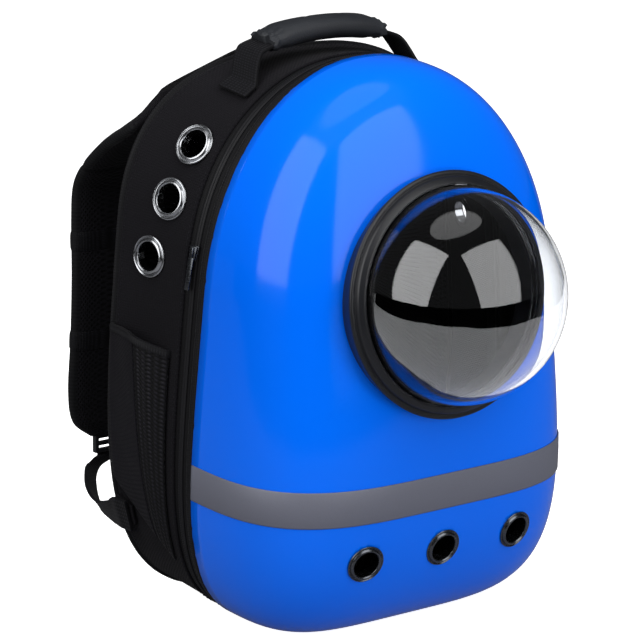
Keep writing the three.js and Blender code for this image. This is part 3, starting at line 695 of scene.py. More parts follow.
def woven_cloth(name, colour, shade, thread_mm, depth_mm, place=surface_place, roughness=0.85):
    """Basket-woven polyester: threads pass over and under each other, matt with a soft sheen."""
    material, tree, shader = new_material(name, {
        "IOR": 1.5, "Sheen Weight": 0.02, "Sheen Roughness": 0.5, "Specular IOR Level": 0.1})
    place = place(tree)
    scale = wave_scale(thread_mm)
    warp = add_node(tree, "ShaderNodeTexWave", {"Scale": scale, "Distortion": 0.4, "Detail": 1.0},
                    {"Vector": place}, bands_direction="X")
    weft = add_node(tree, "ShaderNodeTexWave", {"Scale": scale, "Distortion": 0.4, "Detail": 1.0},
                    {"Vector": place}, bands_direction="Y")
    over = add_node(tree, "ShaderNodeTexChecker", {"Scale": 1000 / thread_mm}, {"Vector": place})
    weave = add_node(tree, "ShaderNodeMix", links={0: over.outputs["Fac"], 2: warp.outputs["Fac"],
                                                   3: weft.outputs["Fac"]})
    worn = add_node(tree, "ShaderNodeTexNoise", {"Scale": 14.0, "Detail": 4.0},
                    {"Vector": object_place(tree)})
    tone = add_node(tree, "ShaderNodeMath", links={0: weave.outputs[0], 1: worn.outputs["Fac"]},
                    operation="MULTIPLY")
    mixed_colour(tree, shader, shade, colour, ranged(tree, tone.outputs[0], 0.15, 1.25))
    rough = ranged(tree, worn.outputs["Fac"], roughness - 0.08, roughness + 0.06)
    tree.links.new(rough, shader.inputs["Roughness"])
    bumped(tree, shader, weave.outputs[0], depth_mm)
    return material


def ribbed_tape(name, colour, shade, rib_mm, depth_mm, direction="Y", roughness=0.6):
    """Woven narrow tape: fine ribs across it, coloured lighter on each rib's crown as a painted highlight
    and darker between ribs as painted shade.
    """
    material, tree, shader = new_material(name, {
        "IOR": 1.5, "Sheen Weight": 0.03, "Sheen Roughness": 0.4, "Specular IOR Level": 0.16})
    place = surface_place(tree)
    ribs = add_node(tree, "ShaderNodeTexWave", {"Scale": wave_scale(rib_mm), "Distortion": 0.3,
                                                "Detail": 1.0}, {"Vector": place},
                    bands_direction=direction)
    lengthwise = "X" if direction == "Y" else "Y"
    threads = add_node(tree, "ShaderNodeTexWave", {"Scale": wave_scale(rib_mm * 1.6)},
                       {"Vector": place}, bands_direction=lengthwise)
    height = add_node(tree, "ShaderNodeMath", operation="MULTIPLY",
                      links={0: ribs.outputs["Fac"], 1: threads.outputs["Fac"]})
    # Painted highlight and shade: the colour runs from the dark shade colour in the rib hollows to the
    # light colour on the crowns
    mixed_colour(tree, shader, shade, colour, ranged(tree, height.outputs[0], 0.0, 1.0))
    dusty = add_node(tree, "ShaderNodeTexNoise", {"Scale": 30.0}, {"Vector": object_place(tree)})
    tree.links.new(ranged(tree, dusty.outputs["Fac"], roughness - 0.1, roughness + 0.15),
                   shader.inputs["Roughness"])
    bumped(tree, shader, height.outputs[0], depth_mm)
    return material


def air_mesh(name, colour, hole, pitch_mm, depth_mm):
    """Knitted spacer mesh: rows of small round holes through a matt open face, with painted shade in the
    holes.
    """
    material, tree, shader = new_material(name, {
        "IOR": 1.5, "Sheen Weight": 0.02, "Sheen Roughness": 0.6, "Specular IOR Level": 0.08})
    place = add_node(tree, "ShaderNodeMapping", {"Rotation": (0, 0, math.pi / 4)},
                     {"Vector": surface_place(tree)}).outputs["Vector"]
    cells = add_node(tree, "ShaderNodeTexVoronoi", {"Scale": 1000 / pitch_mm, "Randomness": 0.06},
                     {"Vector": place}, voronoi_dimensions="2D")
    knit = add_node(tree, "ShaderNodeMapRange", {1: 0.16, 2: 0.42, 3: 0.0, 4: 1.0},
                    {0: cells.outputs["Distance"]})
    # Painted shade: the holes take the near-black second colour
    mixed_colour(tree, shader, hole, colour, knit.outputs[0])
    worn = add_node(tree, "ShaderNodeTexNoise", {"Scale": 22.0, "Detail": 3.0},
                    {"Vector": object_place(tree)})
    tree.links.new(ranged(tree, worn.outputs["Fac"], 0.78, 0.95), shader.inputs["Roughness"])
    bumped(tree, shader, knit.outputs[0], depth_mm)
    return material


def plated_metal(name, colour, shade, roughness):
    """Plated pressed metal: bright, with fine polishing lines and a few dull patches."""
    material, tree, shader = new_material(name, {"Metallic": 1.0})
    place = object_place(tree)
    patches = add_node(tree, "ShaderNodeTexNoise", {"Scale": 60.0, "Detail": 4.0}, {"Vector": place})
    mixed_colour(tree, shader, colour, shade, ranged(tree, patches.outputs["Fac"], 0.0, 1.0))
    lines = add_node(tree, "ShaderNodeTexNoise", {"Scale": 900.0, "Detail": 2.0}, {"Vector": place})
    tree.links.new(ranged(tree, lines.outputs["Fac"], roughness * 0.7, roughness * 1.4),
                   shader.inputs["Roughness"])
    bumped(tree, shader, lines.outputs["Fac"], 0.01)
    return material


def clear_sheet(name, colour):
    """Blow-moulded polycarbonate, clear and hard: sharp reflections and a faint waver."""
    material, tree, shader = new_material(name, {
        "Base Color": colour, "IOR": 1.585, "Roughness": 0.0, "Transmission Weight": 1.0})
    waver = add_node(tree, "ShaderNodeTexNoise", {"Scale": 18.0, "Detail": 0.0},
                     {"Vector": object_place(tree)})
    bumped(tree, shader, waver.outputs["Fac"], 0.02)
    return material


def reflective_tape(name, colour, shade):
    """Glass-bead reflective tape: an even silvery grey that glows softly, sprinkled with beads."""
    material, tree, shader = new_material(name, {"IOR": 1.5, "Metallic": 0.25,
                                                 "Specular IOR Level": 0.5})
    place = object_place(tree)
    beads = add_node(tree, "ShaderNodeTexVoronoi", {"Scale": 1100.0}, {"Vector": place})
    sprinkle = ranged(tree, beads.outputs["Distance"], 0.15, 0.75)
    mixed_colour(tree, shader, colour, shade, sprinkle)
    rubbed = add_node(tree, "ShaderNodeTexNoise", {"Scale": 25.0, "Detail": 3.0}, {"Vector": place})
    tree.links.new(ranged(tree, rubbed.outputs["Fac"], 0.42, 0.6), shader.inputs["Roughness"])
    bumped(tree, shader, beads.outputs["Distance"], 0.03)
    return material


def soft_rubber(name, colour, shade):
    """Moulded soft rubber: satin and finely pebbled, in slightly cloudy tones."""
    material, tree, shader = new_material(name, {"IOR": 1.52, "Specular IOR Level": 0.3})
    place = object_place(tree)
    pebbles = add_node(tree, "ShaderNodeTexVoronoi", {"Scale": 900.0}, {"Vector": place})
    rubbed = add_node(tree, "ShaderNodeTexNoise", {"Scale": 40.0, "Detail": 3.0}, {"Vector": place})
    mixed_colour(tree, shader, shade, colour, ranged(tree, rubbed.outputs["Fac"], 0.1, 1.0))
    tree.links.new(ranged(tree, rubbed.outputs["Fac"], 0.42, 0.62), shader.inputs["Roughness"])
    bumped(tree, shader, pebbles.outputs["Distance"], 0.12)
    return material


def studio_paper(name, colour, shade, glow):
    """Seamless background paper: matt, with a barely seen mottle, and lit evenly from beneath."""
    material, tree, shader = new_material(name, {
        "Roughness": 0.9, "Specular IOR Level": 0.1, "Emission Color": colour, "Emission Strength": glow})
    mottle = add_node(tree, "ShaderNodeTexNoise", {"Scale": 2.0, "Detail": 3.0},
                      {"Vector": object_place(tree)})
    mixed_colour(tree, shader, colour, shade, mottle.outputs["Fac"])
    return material


@lru_cache(maxsize=None)
def finishes():
    """Every finish of the carrier, by the name that the pieces use."""
    colours = bpy.context.scene.carrier_colours
    shell, cloth, ring = (tuple(c) for c in (colours.shell, colours.cloth, colours.ring))
    tape = tuple(colours.stripe)
    return {
        "shell": glossy_plastic("vacuum_formed_blue_abs", shell, srgb("0060E6"), 0.11, 28, 0.03, 0.27),
        # Painted shade: the hard front's inner face is coloured near black to show the dark cabin behind
        # it
        "cabin_shade": woven_cloth("painted_cabin_shade_cloth", srgb("08080A"), srgb("030304"), 1.8, 0.1),
        "ring": glossy_plastic("moulded_black_abs", ring, srgb("101114"), 0.34, 9, 0.02),
        "dome": clear_sheet("blow_moulded_clear_polycarbonate", srgb("FAFCFF")),
        # Its beads are about 0.1 mm wide and are drawn at 0.9 mm to show
        "stripe": reflective_tape("glass_bead_reflective_tape", tape, srgb("666873")),
        # Oxford threads are about 0.6 mm apart; they are drawn at 1.7 mm to show in the render
        "cloth": woven_cloth("black_polyester_oxford", cloth, srgb("09080B"), 1.7, 0.16),
        "pocket": woven_cloth("pocket_polyester_oxford", srgb("1A191E"), srgb("0C0B0E"), 1.7, 0.18),
        # Ribs of narrow tape are about 0.8 mm apart and are drawn at 1.7 to 2 mm to show
        # Each ribbed tape's second colour is painted shade in the hollows between its ribs, and its first
        # colour, on the crowns, carries a painted highlight
        "binding": ribbed_tape("polyester_binding_tape", srgb("19191C"), srgb("09090B"), 1.9, 0.14, "X"),
        "zip_tape": ribbed_tape("woven_zip_tape", srgb("0E0E11"), srgb("060608"), 1.7, 0.1, "X"),
        "coil": glossy_plastic("nylon_zip_coil", srgb("141417"), srgb("0A0A0C"), 0.5, 4, 0.02, 0.2),
        "webbing": ribbed_tape("polypropylene_webbing", srgb("1A1A1F"), srgb("08080A"), 2.0, 0.3),
        # The spacer mesh's second colour is painted shade in its holes
        "mesh": air_mesh("knitted_spacer_mesh", srgb("131216"), srgb("050506"), 3.1, 0.5),
        "pocket_mesh": ribbed_tape("stretch_pocket_mesh", srgb("1C1B20"), srgb("040405"),
                                   POCKET_RIB, 0.4),
        "grip": soft_rubber("moulded_soft_rubber", srgb("2C2E32"), srgb("111317")),
        "nickel": plated_metal("nickel_plated_steel", srgb("C4C6C9"), srgb("9A9CA0"), 0.2),
        "gunmetal": plated_metal("gunmetal_plated_steel", srgb("74777C"), srgb("4A4D52"), 0.24),
        "thread": woven_cloth("bonded_polyester_thread", srgb("26262B"), srgb("141417"), 0.9,
                              0.05, object_place),
        "buckle": glossy_plastic("moulded_black_acetal", srgb("1A1B1E"), srgb("0E0F11"), 0.3, 6, 0.03),
    }


# Pieces

def shell_body():
    columns, rows = 336, 72

    def place(u, v):
        share = math.cos(math.pi / 2 * v) ** (2 / SHELL_ROUND_FACE) if v < 1 else 0.0
        edge = RIM_LINE.at(even_angle(u))
        return shell_point(edge.x * share, mix(HUB, edge.y, share))

    bm = shaped_grid(columns, rows, place, (rim_length(), 230.0))
    face_away(bm, CABIN)
    on_face = lambda point: shell_point(point.x, point.z)
    open_hole(bm, WINDOW_CENTRE, WINDOW_AXIS, DOME_RADIUS - CUT_MARGIN, on_face)
    for _, origin, axis in front_vents():
        open_hole(bm, origin, axis, FRONT_VENT["hole"] / 2 + CUT_MARGIN, on_face)
    return bm


def front_vents():
    places = (("left", -1), ("middle", 0), ("right", 1))
    found = []
    for name, side in places:
        origin = shell_point(side * FRONT_VENT["pitch"], FRONT_VENT["height"])
        found.append((name, origin, shell_normal(origin)))
    return found


def side_vents():
    found = []
    for name, (up, back) in SIDE_VENTS.items():
        height, depth = up * REAR["top"], back * SIDE_DEPTH
        for side, sign in (("left", -1), ("right", 1)):
            angle = sign * angle_at_height(height, depth)
            origin = side_point(angle, depth, -CLOTH_INSET)
            found.append((f"{side}_{name}", origin, side_normal(angle, depth)))
    return found


def eyelet(hole, width, wall, origin, axis):
    """Rolled eyelet: a bead round the hole, a groove, a bead at the rim, a barrel and a washer."""
    inner, outer = hole / 2, width / 2
    barrel = inner + 1.2
    inside = -wall - 2.8
    span = outer - inner
    profile = [
        (inner, inside - 1.0), (mix(barrel, outer, 0.7), inside - 1.2),
        (mix(barrel, outer, 0.7), inside), (barrel, inside), (barrel, SEAM_GAP),
        (outer - 0.3, SEAM_GAP), (outer, 0.5), (outer - 0.06 * span, 0.95),
        (outer - 0.16 * span, 1.1), (outer - 0.24 * span, 0.9), (outer - 0.3 * span, 0.55),
        (outer - 0.38 * span, 0.5), (outer - 0.44 * span, 0.9), (outer - 0.54 * span, 1.6),
        (outer - 0.68 * span, 2.1), (outer - 0.82 * span, 2.15), (outer - 0.94 * span, 1.7),
        (inner + 0.02, 1.1), (inner, 0.5),
    ]
    return spun(profile, origin, axis, 48)


def window_ring():
    bore = DOME_RADIUS + FIT
    seat = DOME_RADIUS + DOME_FLANGE + FIT
    seat_rise = DOME_SEAT + DOME_WALL + FIT
    wall = [(mix(RING_FOOT_RADIUS, RING_RADIUS, i / 6), mix(-RING_SKIRT, RING_EDGE_RISE, i / 6))
            for i in range(7)]
    top = [
        (RING_RADIUS - 0.35, 5.4), (RING_RADIUS - 0.9, 5.95), (RING_RADIUS - 1.7, 6.15),
        (85.75, 6.15), (85.35, 6.0), (84.95, 6.15), (84.7, 6.9), (84.5, 8.0), (84.2, 8.75),
        (83.6, 9.35), (82.2, 10.35), (81.2, 11.1), (80.5, 11.5), (79.9, 11.6), (79.2, 11.45),
        (bore, 11.0), (bore, seat_rise), (seat, seat_rise),
    ]
    inner = [(seat, mix(seat_rise, -RING_SKIRT, i / 6)) for i in range(1, 7)]
    bm = spun(wall + top + inner, ORIGIN, UP, 160)

    # The foot follows the hard front all round
    turn = WINDOW_AXIS.to_track_quat("Z", "Y").to_matrix()

    def onto_shell(flat):
        def outside(height):
            point = WINDOW_CENTRE + turn @ Vector((flat.x, flat.y, height))
            return shell_field(*point) > 1
        return bisect(DOME_NECK, -2 * RING_SKIRT, outside) + SEAM_GAP

    for vert in bm.verts:
        radius = math.hypot(vert.co.x, vert.co.y)
        limit = RING_EDGE_RISE if radius > seat + 1.5 else seat_rise
        if vert.co.z < limit - WELD:
            share = (vert.co.z + RING_SKIRT) / (limit + RING_SKIRT)
            vert.co.z = mix(onto_shell(vert.co), limit, share)
    bmesh.ops.transform(bm, matrix=Matrix.Translation(WINDOW_CENTRE) @ turn.to_4x4(), verts=bm.verts)
    collar = spun([(75.2, 3.2), (77.0, 3.2), (77.0, -14.0), (75.2, -14.0)],
                  WINDOW_CENTRE, WINDOW_AXIS, 96)
    return merged(bm, collar)


def window_dome():
    inside = DOME_RADIUS - DOME_WALL
    steps = 36
    profile = [(inside, DOME_SEAT), (DOME_RADIUS + DOME_FLANGE, DOME_SEAT),
               (DOME_RADIUS + DOME_FLANGE, DOME_SEAT + DOME_WALL),
               (DOME_RADIUS + 0.6, DOME_SEAT + DOME_WALL), (DOME_RADIUS, DOME_SEAT + DOME_WALL + 0.6)]
    for radius, order in ((DOME_RADIUS, range(steps + 1)), (inside, range(steps, -1, -1))):
        for i in order:
            turn = math.pi * i / (2 * steps)
            profile.append((radius * math.cos(turn) if i < steps else 0.0,
                            DOME_NECK + radius * math.sin(turn)))
    # The profile starts and ends away from the axis, and its two poles lie on it
    start = profile[:5] + profile[5:5 + steps + 1]
    end = profile[5 + steps + 1:] + profile[:1]
    return spun(end + start[1:], WINDOW_CENTRE, WINDOW_AXIS, 128, ring=False)


def stripe_band():
    limit = math.pi / 2 - 1.0 / 128
    top, foot = STRIPE_HEIGHT + STRIPE_WIDTH / 2, STRIPE_HEIGHT - STRIPE_WIDTH / 2
    edges = [0.0, 0.03, 0.5, 0.97, 1.0]
    drop = [0.45, 0.0, 0.0, 0.0, 0.45]

    def place(u, v):
        i = round(v * 4)
        lift = SEAM_GAP + STRIPE_RISE - drop[i]
        return shell_round(mix(-limit, limit, u), mix(foot, top, edges[i]), lift)

    return face_away(shaped_grid(260, 4, place, (560.0, STRIPE_WIDTH)), CABIN)


def coil_band(pitch):
    """The zip's coil: two rows of turned nylon, ridged every pitch and meeting in a fine groove."""
    count = int(rim_length() / pitch)
    section = [(-2.5, 0.05), (-2.2, 0.75), (-1.3, 1.3), (-0.35, 1.15), (0, 0.85),
               (0.35, 1.15), (1.3, 1.3), (2.2, 0.75), (2.5, 0.05), (0, -0.3)]

    def place(u, v):
        i = round(v * len(section)) % len(section)
        across, rise = section[i]
        ridge = round(u * count * 2) % 2
        side = 1 if across > 0 else 0
        rise *= 1.0 if (ridge + side) % 2 == 0 else 0.68
        return side_point(even_angle(u), ZIP_MIDDLE + across, rise - ZIP_INSET)

    return shaped_grid(count * 2, len(section), place, (rim_length(), 8.0))


def tape_band():
    profile = [(ZIP_FRONT - TUCK, -ZIP_INSET), (10.2, -ZIP_INSET), (13.6, -ZIP_INSET - 0.2),
               (17.0, -ZIP_INSET), (ZIP_BACK + TUCK, -ZIP_INSET), (ZIP_BACK + TUCK, -ZIP_INSET - 1.4),
               (ZIP_FRONT - TUCK, -ZIP_INSET - 1.4)]
    return side_band(profile, 260)


def cloth_band():
    """The soft side: a wide strip of cloth with slack puckers between its seams."""
    ripple = bpy.context.scene.carrier_sizes.cloth_ripple / MM
    length = rim_length()

    def place(u, v):
        depth = mix(CLOTH_FRONT, SIDE_DEPTH + TUCK, v)
        angle = even_angle(u)
        point = side_point(angle, depth, -CLOTH_INSET)
        hold = math.sin(math.pi * clamp(v)) ** 0.6
        slack = wander(point, 60, 3.0) * 0.9 + wander(point, 24, 9.0) * 0.35
        pucker = math.exp(-((v - 0.0) * 9) ** 2) + math.exp(-((1.0 - v) * 9) ** 2)
        gather = wander((*round_trip(u, length), 0), 5.0, 5.0) * 0.25 * pucker * math.sin(math.pi * v) * 4
        sink = -0.8 * hold + slack * ripple * hold + gather
        return side_point(angle, depth, -CLOTH_INSET + min(sink, 0.35))

    bm = face_away(shaped_grid(400, 26, place, (length, SIDE_DEPTH - CLOTH_FRONT)), CABIN)
    for _, origin, axis in side_vents():
        open_hole(bm, origin, axis, SIDE_VENT["hole"] / 2 + CUT_MARGIN, lambda point: point)
    return bm


def rounded_band(front, back, face, thickness, crown):
    """Section of a folded tape: flat-backed and crowned."""
    steps = 6
    profile = []
    for i in range(steps + 1):
        share = i / steps
        profile.append((mix(front, back, share), face - crown + crown * math.sin(math.pi * share) ** 0.5))
    return profile + [(back, face - thickness), (front, face - thickness)]


def piping_band():
    centre = SIDE_DEPTH + SEAM_GAP + PIPING_RADIUS
    count = 14
    profile = []
    for i in range(count):
        turn = 2 * math.pi * i / count
        profile.append((centre + PIPING_RADIUS * math.cos(turn),
                        PIPING_RADIUS * (math.sin(turn) - PIPING_SINK)))
    length = rim_length()
    ripple = lambda u, depth, lift: 0.12 * wander((*round_trip(u, length), depth), 7.0)
    return side_band(profile, 420, ripple)


def panel_body():
    """Padded back: flat towards the cabin, pillowed towards the wearer between sewn channels."""
    rows = [(0.0, 0.0), (0.5, 0.0), (0.9, 0.0), (0.97, 0.0), (1.0, 0.3), (1.0, 0.64)]
    shoulders = 34

    def padding(x, z, share):
        swell = clamp((1 - share) / 0.1) ** 0.5
        middle = math.exp(-(x / 9) ** 2)
        sides = math.exp(-((abs(x) - 74) / 6) ** 2)
        levels = sum(math.exp(-((z - level) / 6) ** 2) for level in (118, 214, 310))
        levels *= 1 - math.exp(-(max(0.0, 74 - abs(x)) / 30) ** 2) * 0.6
        return -3.6 * swell * clamp(max(middle, sides, levels))

    def place(u, v):
        step = v * (len(rows) - 1 + shoulders)
        if step <= len(rows) - 1:
            i = min(int(step), len(rows) - 2)
            share, rise = (mix(a, b, step - i) for a, b in zip(rows[i], rows[i + 1]))
            y = PANEL_FRONT + rise * PANEL_THICKNESS
        else:
            turn = (step - len(rows) + 1) / shoulders
            share = 1 - turn ** 1.15
            y = mix(PANEL_FACE - 5.0, PANEL_FACE, 1 - (1 - clamp(turn / 0.16)) ** 2.4)
        edge = side_point(even_angle(u), SIDE_DEPTH, PANEL_EDGE + TUCK / 2)
        x, z = edge.x * share, mix(HUB, edge.z, share)
        if step > len(rows) - 1:
            y += padding(x, z, share) * clamp((1 - share) / 0.06)
        return Vector((x, y, z))

    return shaped_grid(220, len(rows) - 1 + shoulders, place, (rim_length(), 220.0))


def handle_rows():
    left = [(-along, rise, back) for along, rise, back in HANDLE_ROUTE]
    return left + [(0, 1, 1)] + HANDLE_ROUTE[::-1]


def handle_route():
    rows = []
    for along, rise, back in handle_rows():
        depth = HANDLE_DEPTH + back * HANDLE_BACKSET
        angle = arch_angle(along * HANDLE_SPAN / 2, depth)
        point = side_point(angle, depth, SEWN_LIFT + WEBBING / 2)
        point.z += rise * HANDLE_RISE
        rows.append((point, side_backwards(angle, depth), HANDLE_WIDTH))
    return Route(rows)


def handle_webbing(route):
    columns, rows = 10, 150

    def place(u, v):
        point, _, across, up, width = route.at(v)
        a = (u - 0.5) * width
        free = route.place(v, a, 0)
        # Where it is sewn down the tape lies along the arch instead of staying flat
        angle = arch_angle(point.x, HANDLE_DEPTH)
        depth = HANDLE_DEPTH + a
        down = side_point(angle, depth, SEWN_LIFT + WEBBING / 2)
        lifted = ease((point.z - side_point(angle, HANDLE_DEPTH, SEWN_LIFT + WEBBING / 2).z) / 3.0)
        return down.lerp(free, lifted)

    return face_away(shaped_grid(columns, rows, place, (HANDLE_WIDTH, route.length)), CABIN)


def grip_route():
    depth = HANDLE_DEPTH + HANDLE_BACKSET
    rows = []
    for share in (-1, -0.75, -0.5, -0.25, 0, 0.25, 0.5, 0.75, 1):
        angle = arch_angle(share * GRIP_LENGTH / 2, depth)
        point = side_point(angle, depth, SEWN_LIFT + WEBBING / 2)
        point.z += HANDLE_RISE
        rows.append((point, side_backwards(angle, depth), GRIP_WIDTH))
    return Route(rows)


def grip_body(route):
    """Soft grip: an oval sleeve with a faint sunk oval on top and gathered, cuffed ends."""
    around, along = 72, 90

    def place(u, v):
        turn = 2 * math.pi * u
        end = min(v, 1 - v) * route.length
        pinch = ease(end / 17.0)
        cuff = 1.3 * math.exp(-((end - 3.0) / 1.5) ** 2)
        half_width = GRIP_WIDTH / 2 * mix(0.93, 1.0, pinch) + cuff * 0.5
        half_thick = GRIP_THICKNESS / 2 * mix(0.7, GRIP_PLUMP, pinch) + cuff
        power = 0.78
        c, s = math.cos(turn), math.sin(turn)
        a = half_width * math.copysign(abs(c) ** power, c)
        b = half_thick * math.copysign(abs(s) ** power, s)
        gather = (1 - pinch) * 0.8 * math.sin(13 * turn + 2 * wander((v * 90, u * 6, 0), 1.0))
        boss = 0.0
        if s > 0:
            oval = ((v - 0.56) / 0.17) ** 2 + (a / 10.5) ** 2
            boss = -0.55 * math.exp(-((oval - 1) / 0.22) ** 2)
        b += math.copysign(1, s) * (gather + boss * abs(s))
        wave = (1 - pinch) ** 2 * 1.5 * math.sin(7 * turn)
        point, direction, across, up, _ = route.at(v)
        flip = -1 if up.z < 0 else 1
        return point + across * a + up * (b * flip) + direction * (wave * (1 if v < 0.5 else -1))

    return close_ends(shaped_grid(around, along, place, (84.0, route.length)))


def pocket_seam(rise):
    return mix(POCKET_SEAM_FOOT, POCKET_SEAM_TOP, rise)


def pocket_lift(depth, rise):
    seam = pocket_seam(rise)
    sewn = SEWN_LIFT - CLOTH_INSET
    bulge = POCKET_BULGE * rise ** 0.7
    bulge_rear = POCKET_BULGE_REAR * rise ** 0.5
    rear_turn = SIDE_DEPTH - POCKET_BULGE_REAR
    if depth <= seam:
        share = (depth - POCKET_FRONT) / (seam - POCKET_FRONT)
        return sewn + bulge * math.sin(clamp(share) * math.pi / 2)
    if depth <= rear_turn:
        return sewn + mix(bulge, bulge_rear, ease((depth - seam) / (rear_turn - seam)))
    return sewn + bulge_rear * math.cos(math.pi / 2 * (depth - rear_turn) / (SIDE_DEPTH - rear_turn))


def pocket_point(depth, rise, lift):
    back = (depth - POCKET_FRONT) / (SIDE_DEPTH - POCKET_FRONT)
    height = mix(mix(POCKET_FOOT_FRONT, POCKET_FOOT_REAR, back),
                 mix(POCKET_TOP_FRONT, POCKET_TOP, min(1.0, 2 * back)), rise)
    return side_point(angle_at_height(height, depth), depth, pocket_lift(depth, rise) + lift)


def pocket_wall():
    def place(u, v):
        rise = v
        depth = mix(pocket_seam(rise) + SEAM_GAP, SIDE_DEPTH, u)
        slack = math.sin(math.pi * u) * math.sin(math.pi * clamp(v * 0.98 + 0.01))
        fold = 0.7 * wander((depth, v * 130, 0), 22, 2.0) * slack
        return pocket_point(depth, rise, POCKET_WALL + fold - 0.4 * slack)

    return face_away(shaped_grid(26, 60, place, (38.0, 140.0)), CABIN)


def pocket_gore():
    """Mesh gore: fine zigzag ribs across it, held flat at its seams."""
    def place(u, v):
        depth = mix(POCKET_FRONT, pocket_seam(v), u)
        rib = 0.22 * math.sin(2 * math.pi * (v * 150 / POCKET_RIB + 0.5 * abs((u * 6) % 2 - 1)))
        hold = math.sin(math.pi * clamp(u)) ** 0.5
        return pocket_point(depth, v, POCKET_MESH + rib * hold)

    return face_away(shaped_grid(24, 300, place, (26.0, 150.0)), CABIN)


def pocket_hem():
    """Folded tape over the pocket's mouth."""
    section = [(-0.7, -0.9), (-0.7, 3.0), (-0.2, 3.5), (2.4, 3.5), (2.9, 3.0), (2.9, -0.9)]
    seam_share = 0.42

    def place(u, v):
        i = round(v * len(section)) % len(section)
        lift, drop = section[i]
        if u < seam_share:
            depth = mix(POCKET_FRONT, pocket_seam(1), u / seam_share)
        else:
            depth = mix(pocket_seam(1), SIDE_DEPTH - 0.6, (u - seam_share) / (1 - seam_share))
        point = pocket_point(depth, 1.0, lift)
        wobble = 0.35 * wander((depth, 0, 0), 9, 4.0)
        point.z += 1.2 - (4.2 - drop if drop < 3 else 3.5 - drop) + wobble
        return point

    return close_ends(shaped_grid(56, len(section), place, (70.0, 14.0)))


def strap_place(spread, out, down):
    return Vector((spread * STRAP_SPREAD,
                   PANEL_FACE + SEAM_GAP + STRAP_THICKNESS / 2 + out * STRAP_STANDOFF,
                   mix(STRAP_TOP, STRAP_END, down)))


def strap_route():
    rows = []
    for spread, out, down, wide, roll in STRAP_ROUTE:
        turn = math.radians(roll)
        rows.append((strap_place(spread, out, down), (math.cos(turn), 0, math.sin(turn)),
                     wide * STRAP_WIDTH))
    return Route(rows)


def strap_section(count=44):
    """Half-width and half-thickness shares round a padded strap with a rolled binding each side."""
    edge = 0.43
    section = []
    for i in range(count):
        turn = 2 * math.pi * i / count
        c, s = math.cos(turn), math.sin(turn)
        a = 0.5 * math.copysign(abs(c) ** 0.5, c)
        if abs(a) > edge:
            b = 0.33 * math.sqrt(max(0.0, 1 - ((abs(a) - edge) / (0.5 - edge)) ** 2))
        else:
            dip = 1 - 0.42 * math.exp(-((edge - abs(a)) / 0.016) ** 2)
            b = 0.5 * dip * (1 - 0.22 * (abs(a) / edge) ** 4)
        section.append((a, math.copysign(b, s) if abs(s) > 1e-6 else 0.0))
    return section


def strap_body(route):
    section = strap_section()
    rows = 170

    def place(u, v):
        a, b = section[round(u * len(section)) % len(section)]
        _, _, _, _, width = route.at(v)
        end = min(v, 1 - v) * route.length
        thin = STRAP_THICKNESS * mix(0.55, 1.0, ease(end / 14.0))
        seam = 1 - 0.3 * math.exp(-((v - 0.335) * route.length / 2.2) ** 2)
        lump = 0.25 * wander((v * route.length, a * width, b * 9), 26, 7.0)
        return route.place(v, a * width, b * thin * seam + math.copysign(lump, b) * (abs(a) < 0.42))

    bm = close_ends(shaped_grid(len(section), rows, place, (176.0, route.length)))
    # The strap's edges are bound in tape: faces outside the padded face take the second material
    for face in bm.faces:
        centre = face.calc_center_median()
        share = clamp((STRAP_TOP - centre.z) / (STRAP_TOP - STRAP_END))
        point, _, across, _, width = min(
            (route.at(round(clamp(share + shift, 0, 1), 2)) for shift in
             [-0.3, -0.26, -0.22, -0.18, -0.14, -0.1, -0.06, -0.03, 0, 0.03, 0.06, 0.1, 0.14]),
            key=lambda found: (found[0] - centre).length)
        if abs((centre - point).dot(across)) > 0.425 * width:
            face.material_index = 1
    return bm


def strap_band(route, middle, tall, stand=0.9):
    """A webbing keeper round the strap."""
    section = strap_section()

    def place(u, v):
        a, b = section[round(u * len(section)) % len(section)]
        # Over the outside and back underneath, so that the band is closed
        outside = v <= 0.8
        along = v / 0.8 if outside else (1 - v) / 0.2
        share = middle + (clamp(along) - 0.5) * tall / route.length
        _, _, _, _, width = route.at(share)
        arch = math.sin(math.pi * clamp(along))
        grow = stand * max(arch, 0.0) ** 0.3 if outside else -0.4 * arch
        out = Vector((a * width, b * STRAP_THICKNESS * 1.04))
        return route.place(share, out.x + math.copysign(grow * 0.4, a), out.y + math.copysign(grow, b))

    return shaped_grid(len(section), 10, place, (176.0, 2 * tall))


def webbing_route():
    foot = strap_place(*STRAP_ROUTE[-1][:3])
    foot.z -= ADJUSTER_HEIGHT + 3 * SEAM_GAP
    lift = 3 * SEWN_LIFT - CLOTH_INSET + CLOTH + WEBBING / 2
    sewn = []
    for inset in (2, 8, 14):
        depth = SIDE_DEPTH - inset
        angle = angle_at_height(ANCHOR_HEIGHT, depth)
        upwards = (side_point(angle - 0.02, depth) - side_point(angle + 0.02, depth)).normalized()
        sewn.append((side_point(angle, depth, lift), upwards))
    end, end_wide = sewn[0]
    rows = []
    for across, forward, sag, turn in WEBBING_ROUTE:
        point = Vector((mix(foot.x, end.x, across), mix(foot.y, end.y, forward),
                        mix(foot.z, end.z, forward) - sag * WEBBING_SAG))
        wide = (ACROSS * math.cos(turn * math.pi / 2) + end_wide * math.sin(turn * math.pi / 2)
                + Vector((0, -math.sin(turn * math.pi), 0)))
        rows.append((point, wide, WEBBING_WIDTH))
    return Route(rows + [(point, wide, WEBBING_WIDTH) for point, wide in sewn])


def flat_tape(route, columns=8, rows=160):
    """A flat woven tape along a route."""
    def place(u, v):
        return route.place(v, (u - 0.5) * route.at(v)[4], 0)

    return shaped_grid(columns, rows, place, (WEBBING_WIDTH, route.length))


